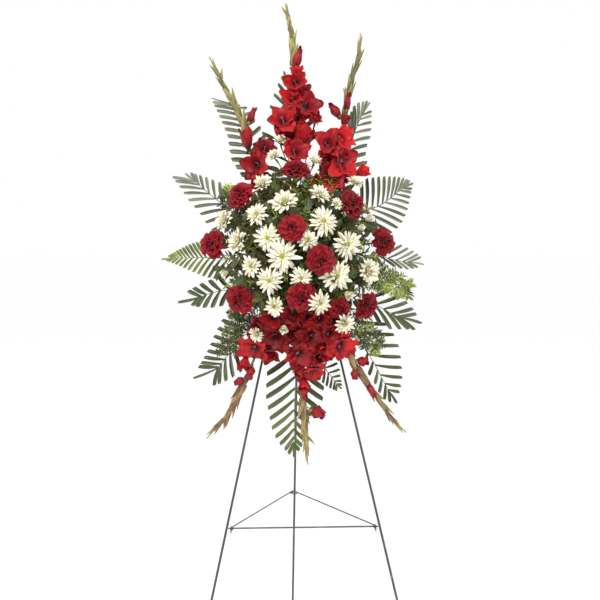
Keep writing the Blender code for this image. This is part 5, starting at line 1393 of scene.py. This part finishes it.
# Heads by size: the least diameter, the diameter for which the numbers in mm hold, the rings
# (petals, distance from the axis at base and tip, height there, half width, curl of the tip),
# and the eye's height above the base, radius and rise, where the head shows one
HEADS = (
    (0.037, 0.062, ((16, 4, 31.5, -3, 0.5, 3.2, -2.5), (14, 3.5, 28, 0, 5.5, 3.0, -0.5),
                    (11, 3, 21.5, 2, 9.5, 2.8, 1.0), (8, 3, 12.5, 3, 10.5, 2.3, 1.0)),
     (3.5, 4.6, 3.4)),
    (0.030, 0.032, ((12, 3, 16, -2, 6, 2.7, -1.0), (8, 2, 12, 0, 9, 2.4, 1.0)),
     (2.0, 2.8, 2.4)),
    (0.0, 0.028, ((8, 5, 11, -6, 9, 4.0, 2.0), (7, 4, 8, -4, 12, 3.6, 1.0),
                  (5, 2, 3.5, -2, 12, 3.0, 0.0)), None),
)

FORK_SHARE = 0.35
ARCH_BELOW = 0.97
ARCH = (0.03, 0.055)
LEAVES_BETWEEN = (1.04, 1.33)


def ray_whorl(form, matrix, scale, rng, count, inner, outer, low, high, wide, curl, thickness):
    """One ring of ray petals. A petal runs out from the inner to the outer distance and up from
    low to high, its tip curls with the cube of the length, its half width is a sine that ends
    in a blunt point, and it is grooved along the middle."""
    u, v = sheet(8, 5)
    turns, size = spaced(rng, count, 0.7 / count, 0.12)
    bend = rng.normal(curl, 2.4, (count, 1, 1))
    reach = inner + (outer - inner) * u * size
    rise = low + (high - low) * np.sin(u * math.pi / 2) + bend * u**3
    half = wide * np.sin(0.42 + 2.50 * u**1.25) ** 0.8 * (0.1 + 0.9 * size)
    twist = rng.normal(0, 1.5, (count, 1, 1)) * v * u
    sway = rng.normal(0, 1.8, (count, 1, 1)) * u**2
    lift = 1.1 * v**2 * np.sin(math.pi * u * 0.9 + 0.2) + twist
    grid = petals(turns, reach, rise + lift, half * v + sway) * scale
    form.blades(moved(grid, matrix), thickness, tint=rng.uniform(0.1, 1.0, count))


def disc(form, matrix, scale, radius, height):
    """The eye of a head: a dome of small florets. The dome falls with the square of the
    distance, and bumps in rings and spokes stand on it."""
    rows, spokes = 9, 20
    share = np.linspace(1.0, 0.12, rows)[:, None]
    turn = np.arange(spokes)[None] * 2 * math.pi / spokes + np.arange(rows)[:, None] * 0.16
    bump = 0.5 * np.abs(np.sin(turn * spokes / 4)) * np.sin(share * math.pi * 4) ** 2
    level = height * (1 - share**2) - 1.2 * (share < 0.2) + bump
    x, y = radius * share * np.cos(turn), radius * share * np.sin(turn)
    points = np.stack([x, y, level + 0 * x], axis=-1) * MM * scale
    number = ring_numbers(rows, spokes)
    top, under = rows * spokes, rows * spokes + 1
    caps = np.concatenate([fan(top, number[-1, :-1], number[-1, 1:]),
                           fan(under, number[0, 1:], number[0, :-1])])
    poles = np.array(((0, 0, level[-1, 0] - 0.3), (0, 0, -2.5))) * MM * scale
    points = moved(np.concatenate([points.reshape(-1, 3), poles]), matrix)
    place = np.zeros((len(points), 2))
    place[:rows * spokes, 1] = np.repeat(1 - share[:, 0], spokes)
    place[top, 1] = 1.0
    form.put(points, cells(number), caps, place, 0.5, 1)


def mum_head(form, diameter, matrix, rng, thickness, cup):
    """A daisy chrysanthemum: rings of ray petals round a small domed eye. Cup, from 0 to 1,
    closes the rings towards a bowl. The smallest is a round bud, whose petals close over the
    middle."""
    for least, drawn, whorls, eye in HEADS:
        if diameter > least:
            break
    scale = diameter / drawn
    for count, inner, outer, low, high, wide, curl in whorls:
        ray_whorl(form, matrix, scale, rng, round(count * (1 - 0.35 * cup)), inner,
                  outer * (1 - 0.28 * cup), low, high + 17 * cup, wide * (1 + 0.35 * cup),
                  curl, thickness)
    if eye:
        above, radius, rise = eye
        disc(form, moved_up(matrix, above * MM * scale), scale, radius, rise)


def moved_up(matrix, distance):
    """The frame, shifted along its own Z axis."""
    raised = matrix.copy()
    raised[:3, 3] += matrix[:3, 2] * distance
    return raised


def mum_spray(name, entry, heads, seed, flowers, greens):
    """A branching stem with a head on each branch and lobed leaves on the branches. It forks
    at a share of the way to the heads' mean place. The branch of a low head runs in an arch,
    and leaves stand only at middle height."""
    rng = np.random.default_rng(seed)
    white, green = Form(), Form()
    heads = rows_in_metres(heads)
    across = sum(head[0] for head in heads) / len(heads)
    up = sum(head[1] for head in heads) / len(heads)
    inside = rooted("front", *metres(entry))
    fork = inside[2] + (place(across, up, dome_out(across, up)) - inside[2]) * FORK_SHARE
    green.tube(eased([*inside, fork], 16, 0.02), 2.0 * MM, 7, tint=0.3, part=1.0)
    bases, ways = [], []
    for index, (across, up, diameter, nudge, turn, tip, cup) in enumerate(heads):
        middle = place(across, up, dome_out(across, up) + nudge)
        look = facing(across, up, turn, tip)
        behind = [place(across, up + ARCH[0], ARCH[1])] if up < ARCH_BELOW else []
        branch = eased([fork, *behind, middle - look * 0.024, middle - look * 0.004], 16, 0.025)
        radii = np.concatenate([np.full(12, 1.4), (1.6, 2.4, 3.4, 4.6)]) * MM
        radii[12:] *= max(0.7, diameter / 0.060)
        green.tube(branch, radii, 8, tint=0.4, part=1.1)
        mum_head(white, diameter, aim(middle, look, 0.7 * index), rng, flowers.petal_thickness,
                 cup)
        for at in (7, 11) if LEAVES_BETWEEN[0] < up < LEAVES_BETWEEN[1] else ():
            bases.append(branch[at])
            ways.append(unit(branch[at + 1] - branch[at]) * 0.5 + unit(rng.normal(0, 1, 3)))
    bases, ways = np.array(bases), np.array(ways)
    face = np.array((0.0, -1.0, 0.35)) + rng.normal(0, 0.25, (len(bases), 3))
    leaves = leaf_grid(bases, ways, face, rng.uniform(0.036, 0.055, len(bases)),
                       0.024, 9, 5, 0.25, 0.2, 0.35)
    green.blades(leaves, greens.leaf_thickness, rng.random(len(bases)), part=0.85)
    white.build(name + "_heads", "chrysanthemum_ray", "mum_white", [name])
    green.build(name + "_stems", "flower_stem", "filler_green")


class SPRAY_OT_chrysanthemums(bpy.types.Operator):
    """Makes the eight branching chrysanthemums"""
    bl_idname = "spray.chrysanthemums"
    bl_label = "Chrysanthemums"

    def execute(self, context):
        flowers, greens = context.scene.spray_flowers, context.scene.spray_greens
        petal_finish("chrysanthemum_ray", flowers.mum_base, flowers.mum, flowers.mum_bright,
                     0.56, 0.6, 6.3 / 0.7, 0.05, flowers.mum_eye, flowers.mum_end, 0.6)
        for seed, (name, (entry, heads)) in enumerate(MUM_SPRAYS.items(), 60):
            mum_spray(name, entry, heads, seed, flowers, greens)
        return {"FINISHED"}


# Palm

# Shares of the rib where the last leaflets of the sides and the one at its end stand, the power
# by which leaflets crowd, the widths of their feet as shares of the full ones, and how much of
# its place a leaflet fills
LAST_LEAFLET = 0.96
END_LEAFLET = 0.985
LEAFLET_CROWDING = 1.25
LEAFLET_FOOT = 0.42
END_LEAFLET_FOOT = 0.5
LEAFLET_ROOM = 0.85
STALK_RADII = (1.8 * MM, 1.3 * MM, 0.8 * MM)


def along(line, share):
    """Points of a table's line at shares of its length, on the front view, and its direction
    from a fiftieth of the length before each to a fiftieth after."""
    line = metres(line)
    runs = np.linalg.norm(np.diff(line, axis=0), axis=1)
    reached = np.concatenate([[0.0], np.cumsum(runs)]) / runs.sum()
    at, before, after = (np.stack([np.interp(np.clip(share + step, 0.0, 1.0), reached, line[:, k])
                                   for k in range(2)], axis=-1) for step in (0, -0.02, 0.02))
    return at, unit(after - before)


def on_the_left(rib, tips):
    """Whether a side's leaflets stand on the left of the rib, seen from its root."""
    root, tip = metres(rib)[[0, -1]]
    way = tip - root
    reach = along(tips, 0.5)[0] - root
    return way[0] * reach[1] - way[1] * reach[0] > 0


def out_on_the_frond(plan, flat):
    """How far a frond stands in front of the legs: the root's distance, and from there towards
    the tip's with the square of the distance from the root."""
    low, high = metres(plan["out"])
    root, tip = metres(plan["rib"])[[0, -1]]
    gone = np.linalg.norm(flat - root, axis=-1) / np.linalg.norm(tip - root)
    return low + (high - low) * np.minimum(gone, 1.0) ** 2


def straps(form, plan, spot, end, across, width, foot, tone, rng, greens, left=True):
    """Leaflets on the front view, each a strap from its spot on the rib to its end. Its half
    width opens from the foot's share to the full one on just over half of the length, its end
    is cut aslant, and its middle line bows a little towards the rib's tip. In depth it folds up
    from its midrib, droops with the square of its length and turns a little. Those on the left
    of the rib have their grid turned round, so that their faces point outwards."""
    count = len(spot)
    ahead = end - spot
    length = np.linalg.norm(ahead, axis=1)[:, None, None]
    ahead = unit(ahead)
    s, v = sheet(12, 5)
    open_share = foot + (1 - foot) * np.clip(s / 0.55, 0, 1) ** 0.8
    half = width[:, None, None] / 2 * open_share * (1 - 0.30 * np.clip((s - 0.85) / 0.15, 0, 1))
    run = length * s - (1 - v) * half * 0.55 * s**6
    bow = length * 0.025 * np.sin(math.pi * s)
    flat = (spot[:, None, None] + run[..., None] * ahead[:, None, None]
            + (half * v + bow)[..., None] * across[:, None, None])
    fold = np.abs(v) * half * 0.6
    droop = rng.normal(-1.5, 2.2, (count, 1, 1)) * MM * s**2
    twist = rng.normal(0, 0.2, (count, 1, 1)) * v * half
    middle = place(flat[..., 0], flat[..., 1],
                   out_on_the_frond(plan, flat) + fold + droop + twist)
    form.blades(middle[:, :, ::-1] if left else middle, greens.leaf_thickness,
                rng.uniform(0.1, 0.95, count), tone)


def square_to(way):
    """The directions a quarter turn to the left of those on the front view."""
    return np.stack([-way[:, 1], way[:, 0]], axis=-1)


def leaflets(form, plan, side, rng, greens):
    """One side of a frond: leaflets from places along the rib to as many along the line of
    their tips. They crowd towards the tip, as the length left falls with a power, and none is
    wider than its place beside the next. The tone of those at the root lies near 1, dark
    green."""
    count, first, tips = side
    u = 1 - (1 - np.linspace(0, 1, count)) ** LEAFLET_CROWDING
    spot, way = along(plan["rib"], first + (LAST_LEAFLET - first) * u)
    end, _ = along(tips, u)
    beside = np.concatenate([end[1:], [2 * end[-1] - end[-2]]])
    across = square_to(unit(end - spot))
    across *= np.sign((across * way).sum(axis=-1))[:, None]
    root_width, tip_width = plan["width"]
    width = (root_width + (tip_width - root_width) * u) * MM
    width = np.minimum(width, LEAFLET_ROOM * np.abs((across * (beside - end)).sum(axis=-1)))
    tone = plan["tone"] + 0.8 * (1 - plan["tone"]) * (1 - u) ** 1.5
    straps(form, plan, spot, end, across, width * greens.leaflet_width, LEAFLET_FOOT, tone, rng,
           greens, on_the_left(plan["rib"], tips))


def frond(name, plan, seed, greens):
    """A palm frond: leaflets on both sides of a tapering rib that ends in the foam, and one
    at the rib's end."""
    rng = np.random.default_rng(seed)
    form = Form()
    for side in plan["sides"]:
        leaflets(form, plan, side, rng, greens)
    tip, way = along(plan["rib"], np.array((END_LEAFLET,)))
    straps(form, plan, tip, metres([plan["end"]]), square_to(way),
           np.array((plan["width"][1] * MM,)), END_LEAFLET_FOOT, plan["tone"], rng, greens)
    flat, _ = along(plan["rib"], np.linspace(0, 1, 24))
    rib = place(flat[:, 0], flat[:, 1], out_on_the_frond(plan, flat))
    path = eased([*table_root(plan["root"]), *rib], 48, 0.02)
    radii = np.interp(np.linspace(0, 1, 48), (0, 0.3, 1), STALK_RADII)
    form.tube(path, radii, 8, tint=0.75, part=min(2.0, plan["tone"] + 0.4),
              reference=(0.15, 1.0, 0.1))
    form.build(name + "_leaf", "palm_leaflet", "palm_green", [name])


class SPRAY_OT_palm(bpy.types.Operator):
    """Makes the thirteen palm fronds"""
    bl_idname = "spray.palm"
    bl_label = "Palm fronds"

    def execute(self, context):
        greens = context.scene.spray_greens
        leaf_finish("palm_leaflet", greens.palm_grey, greens.palm_dark, greens.palm_bright,
                    0.42, 9 / 0.5)
        for seed, (name, plan) in enumerate(FRONDS.items(), 80):
            frond(name, plan, seed, greens)
        return {"FINISHED"}


# Small leaves

# A twig's length, its pairs of leaves, and their length as a share of the main stem's
TWIG_LENGTH = 0.062
TWIG_PAIRS = 9
TWIG_LEAF = 0.85


def leafy_stem(form, path, radius, leaves, tone, rng, thickness, grid=(6, 5), teeth=0.0,
               start=0.0, spin=0.0, look=(0.1, -1.0, 0.2)):
    """A stem with leaves in pairs, from the start's share of its length. Each pair stands
    across the stem, flat towards the look, or turned on by the spin from the pair before it.
    The grid holds the rows and columns of a leaf."""
    pairs, length, width = leaves
    form.tube(path, np.linspace(radius, radius * 0.5, len(path)), 5, tint=0.4,
              part=min(2.0, tone + 0.1), reference=(0.9, 0.15, 0.3))
    share = np.repeat(start + (1 - start) * (np.arange(pairs) + 0.6) / pairs, 2)
    number = share * (len(path) - 1)
    floor = np.minimum(number.astype(int), len(path) - 2)
    part = (number - floor)[:, None]
    base = path[floor] * (1 - part) + path[floor + 1] * part
    way = unit(path[floor + 1] - path[floor])
    look = unit(np.asarray(look, float))
    side = unit(np.cross(way, look) + 1e-4)
    other = np.cross(way, side)
    turn = np.repeat(np.arange(pairs), 2) * spin + np.tile((0.0, math.pi), pairs)
    turn = turn + rng.normal(0, 0.45, len(turn))
    away = side * np.cos(turn)[:, None] + other * np.sin(turn)[:, None]
    size = length * (1 - 0.35 * share) * rng.uniform(0.75, 1.15, len(turn))
    out = away * 0.85 + way * rng.uniform(0.4, 0.9, (len(turn), 1))
    face = look + rng.normal(0, 0.35, (len(turn), 3)) + way * 0.3
    middle = leaf_grid(base, out, face, size, size * width, *grid, 0.3, 0.2, teeth)
    form.blades(middle, thickness, rng.random(len(turn)), tone)


class SPRAY_OT_filler(bpy.types.Operator):
    """Makes the four small-leaved filler stems"""
    bl_idname = "spray.filler"
    bl_label = "Filler"

    def execute(self, context):
        thickness = context.scene.spray_greens.leaf_thickness
        for seed, (name, plan) in enumerate(FILLERS.items(), 100):
            rng = np.random.default_rng(seed)
            stem = place(*metres(plan["stem"]).T)
            form = Form()
            form.tube(eased([*table_root(plan["root"]), stem[0]], 10, 0.01), 1.6 * MM, 6,
                      tint=0.4, part=1.4, reference=(0.2, 1.0, 0.3))
            pairs, length, width, tone, twigs = plan["leaves"]
            main = eased(stem, 24, 0.03)
            leafy_stem(form, main, 1.5 * MM, (pairs, metres(length), width), tone, rng,
                       thickness)
            twig_leaves = (TWIG_PAIRS, metres(length) * TWIG_LEAF, width)
            self.twigs(form, main, twigs, twig_leaves, tone, rng, thickness)
            form.build(name + "_leaves", "small_leaf", "filler_green", [name])
        return {"FINISHED"}

    def twigs(self, form, main, count, leaves, tone, rng, thickness):
        """Side twigs, left and right by turns, that shorten towards the tip."""
        for index in range(count):
            share = (index + 0.5) / count
            at = int(share * (len(main) - 2))
            way = unit(main[at + 1] - main[at])
            side = unit(np.cross(way, (0.0, -1.0, 0.1))) * (1 if index % 2 else -1)
            reach = way * 0.8 + side * rng.uniform(0.5, 0.9)
            reach = unit(reach + np.array((0.0, rng.uniform(-0.45, 0.1), 0.0)))
            tip = main[at] + reach * TWIG_LENGTH * (1 - 0.5 * share) * rng.uniform(0.8, 1.1)
            bend = (main[at] + tip) / 2 + way * 0.006
            leafy_stem(form, eased([main[at], bend, tip], 10, 0.02), 0.8 * MM, leaves,
                       tone + rng.normal(-0.1, 0.3), rng, thickness, (5, 3), start=0.15)


# Sprigs between the blooms: their number, leaf pairs, leaf length in mm, leaf width as a share
# of it, tone as on the palm and its spread, the least and most that they lie under the dome of
# the heads in mm, teeth of the leaves, and the share of the stem that is bare
COVER = (
    (80, 7, 50, 0.50, 0.70, 0.30, 45, 95, 0.2, 0.30),
    (105, 12, 32, 0.22, 1.05, 0.40, 15, 60, 0.0, 0.25),
    (75, 16, 24, 0.12, 1.50, 0.40, 8, 40, 0.0, 0.25),
)

# Their tips fill this ellipse of the front view, each a golden angle on from the last
COVER_MIDDLE = (0.008, 1.135)
COVER_RADII = (0.208, 0.232)
GOLDEN_ANGLE = 2.39996

# Tips lie no further out than this: broad leaves above or below the heights between, and all
# of them when low down. None lies further in than the last
BROAD_LEAF = 0.4
BROAD_BETWEEN = (1.02, 1.28)
BROAD_OUT = 0.050
LOW_BELOW = 1.0
LOW_OUT = 0.075
LEAST_OUT = 0.045

# To the right of this, sprigs get brighter with the distance
BRIGHT_FROM = 0.09
BRIGHTENING = 2.5

# Distances from the holder's middle beyond which a sprig stands in the foam's sides, top or
# bottom, the shares of its own distances at which it does, up to the ends, and the heights
# between which it belongs to the left or right piece
SIDES_FROM = 0.14
TOP_FROM = 0.22
BOTTOM_FROM = -0.13
ROOT_SHARES = (0.5, 0.75)
ROOT_ENDS = (0.068, 0.150)
MIDDLE_PIECES = (-0.04, 0.13)


class SPRAY_OT_greens(bpy.types.Operator):
    """Makes the leafy sprigs that cover the foam between the blooms"""
    bl_idname = "spray.greens"
    bl_label = "Covering greens"

    def execute(self, context):
        greens = context.scene.spray_greens
        rng = np.random.default_rng(7)
        forms = {name: Form() for name in ("greens_upper", "greens_left", "greens_right",
                                           "greens_lower")}
        for count, *kind in COVER:
            number = np.arange(round(count * greens.cover)) + 0.5
            radius = np.sqrt(number / len(number))
            turn = number * GOLDEN_ANGLE + rng.uniform(0, 6)
            across, up = (middle + half * radius * wave(turn) + rng.normal(0, 0.007, len(number))
                          for middle, half, wave in zip(COVER_MIDDLE, COVER_RADII,
                                                        (np.cos, np.sin)))
            for spot in zip(across, up):
                self.sprig(forms, *spot, kind, rng, greens)
        for name, form in forms.items():
            form.build(name, "small_leaf", "filler_green")
        return {"FINISHED"}

    def sprig(self, forms, across, up, kind, rng, greens):
        """One sprig from the foam to its tip, which lies under the dome of the heads, and less
        far out where the heads leave off."""
        pairs, length, width, tone, spread, near, far, teeth, start = kind
        depth = dome_out(across, up) - rng.uniform(*metres((near, far)))
        broad = width > BROAD_LEAF
        if broad and not BROAD_BETWEEN[0] < up < BROAD_BETWEEN[1]:
            depth = min(depth, BROAD_OUT)
        if up < LOW_BELOW:
            depth = min(depth, LOW_OUT)
        tip = place(across, up, max(depth, LEAST_OUT))
        tone = tone + BRIGHTENING * max(0.0, across - BRIGHT_FROM)
        name, root = self.root(across, up - HOLDER_Z, 0.04 + 0.045 * rng.random())
        tone = float(np.clip(rng.normal(tone, spread), 0.2, 2.0))
        leafy_stem(forms[name], eased([*root, tip], 14, 0.03), 1.3 * MM,
                   (pairs, metres(length), width), tone, rng, greens.leaf_thickness,
                   (6, 5) if broad else (5, 3), teeth, start, 1.1, facing(0.5 * across, up, 0, 0))

    def root(self, x, z, edge):
        """The piece that a sprig belongs to, and its end in the face of the foam beneath."""
        inner_x, inner_z = (float(np.clip(share * value, -end, end))
                            for share, value, end in zip(ROOT_SHARES, (x, z), ROOT_ENDS))
        side = "left" if x < 0 else "right"
        if abs(x) > SIDES_FROM:
            spot = (side, inner_z, edge)
        elif z > TOP_FROM:
            spot = ("top", inner_x, edge)
        elif z < BOTTOM_FROM:
            spot = ("bottom", inner_x, edge)
        else:
            spot = ("front", inner_x, inner_z)
        low, high = MIDDLE_PIECES
        part = "upper" if z > high else "lower" if z < low else side
        return "greens_" + part, rooted(*spot)


class SPRAY_OT_leaf_finishes(bpy.types.Operator):
    """Makes the finishes that several pieces share"""
    bl_idname = "spray.leaf_finishes"
    bl_label = "Leaf finishes"

    def execute(self, context):
        greens = context.scene.spray_greens
        leaf_finish("small_leaf", greens.leaf_grey, greens.leaf_dark, greens.leaf_bright,
                    0.45, 7 / 0.7)
        leaf_finish("flower_stem", greens.stem, greens.leaf_dark, greens.leaf_bright, 0.5,
                    12 / 1.5)
        return {"FINISHED"}


# Studio

# Half the floor's width, and each light's size and place
FLOOR_HALF = 60.0
KEY_LIGHT = (1.6, (-0.6, -2.8, 3.0))
FILL_LIGHT = (2.0, (2.2, -2.4, 1.6))


class SPRAY_OT_stage(bpy.types.Operator):
    """Sets the pale floor, the soft lights and the camera at the photograph's angle"""
    bl_idname = "spray.stage"
    bl_label = "Studio"

    def execute(self, context):
        studio = context.scene.spray_studio
        scene = context.scene
        scene.view_settings.view_transform = "Standard"
        mesh = bpy.data.meshes.new("floor")
        corners = [(x * FLOOR_HALF, y * FLOOR_HALF, 0)
                   for x, y in ((-1, -1), (1, -1), (1, 1), (-1, 1))]
        mesh.from_pydata(corners, [], [(0, 1, 2, 3)])
        floor = bpy.data.objects.new("floor", mesh)
        scene.collection.objects.link(floor)
        # Seamless paper is matt and has no edge in view, so the eye finds no horizon
        finish("seamless_paper", Base_Color=studio.floor, Roughness=0.9)
        mesh.materials.append(bpy.data.materials["seamless_paper"])

        world = bpy.data.worlds.new("white_room")
        world.use_nodes = True
        background = world.node_tree.nodes["Background"]
        background.inputs["Color"].default_value = (1.0, 1.0, 1.0, 1.0)
        background.inputs["Strength"].default_value = studio.sky
        scene.world = world

        for name, power, size, spot in (("key", studio.key, *KEY_LIGHT),
                                        ("fill", studio.fill, *FILL_LIGHT)):
            light = bpy.data.lights.new(name, "AREA")
            light.energy = power
            light.size = size
            self.hang(name, light, spot)

        lens = bpy.data.cameras.new("camera")
        lens.lens = studio.lens
        scene.camera = self.hang("camera", lens, EYE)
        return {"FINISHED"}

    def hang(self, name, data, spot):
        """A light or camera at the spot that looks at the middle of the spray."""
        made = bpy.data.objects.new(name, data)
        made.location = spot
        way = Vector(LOOK_AT) - Vector(spot)
        made.rotation_euler = way.to_track_quat("-Z", "Y").to_euler()
        bpy.context.scene.collection.objects.link(made)
        return made


class SPRAY_PT_panel(bpy.types.Panel):
    """Lists the pieces of the spray with their settings"""
    bl_idname = "SPRAY_PT_panel"
    bl_label = "Standing Spray"
    bl_space_type = "VIEW_3D"
    bl_region_type = "UI"
    bl_category = "Spray"

    def draw(self, context):
        for title, settings in SETTINGS.items():
            box = self.layout.box()
            group = getattr(context.scene, title)
            for name in settings.__annotations__:
                box.prop(group, name)
        for piece in PIECES:
            self.layout.operator(piece.bl_idname)


PIECES = (SPRAY_OT_stage, SPRAY_OT_leaf_finishes, SPRAY_OT_easel, SPRAY_OT_holder,
          SPRAY_OT_gladioli, SPRAY_OT_carnations, SPRAY_OT_chrysanthemums, SPRAY_OT_palm,
          SPRAY_OT_filler, SPRAY_OT_greens)
SETTINGS = {"spray_flowers": SprayFlowers, "spray_greens": SprayGreens,
            "spray_hardware": SprayHardware, "spray_studio": SprayStudio}


def register():
    """Adds the settings to the scene, and the operators and the panel to Blender."""
    for title, settings in SETTINGS.items():
        bpy.utils.register_class(settings)
        setattr(bpy.types.Scene, title, PointerProperty(type=settings))
    for piece in (*PIECES, SPRAY_PT_panel):
        bpy.utils.register_class(piece)


def unregister():
    """Takes out what register adds, in the opposite order."""
    for piece in (SPRAY_PT_panel, *reversed(PIECES)):
        bpy.utils.unregister_class(piece)
    for title, settings in SETTINGS.items():
        delattr(bpy.types.Scene, title)
        bpy.utils.unregister_class(settings)


def main():
    """Makes all pieces in order."""
    register()
    bpy.ops.spray.stage()
    bpy.ops.spray.leaf_finishes()
    bpy.ops.spray.easel()
    bpy.ops.spray.holder()
    bpy.ops.spray.gladioli()
    bpy.ops.spray.carnations()
    bpy.ops.spray.chrysanthemums()
    bpy.ops.spray.palm()
    bpy.ops.spray.filler()
    bpy.ops.spray.greens()
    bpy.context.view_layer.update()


if __name__ == "__main__":
    main()
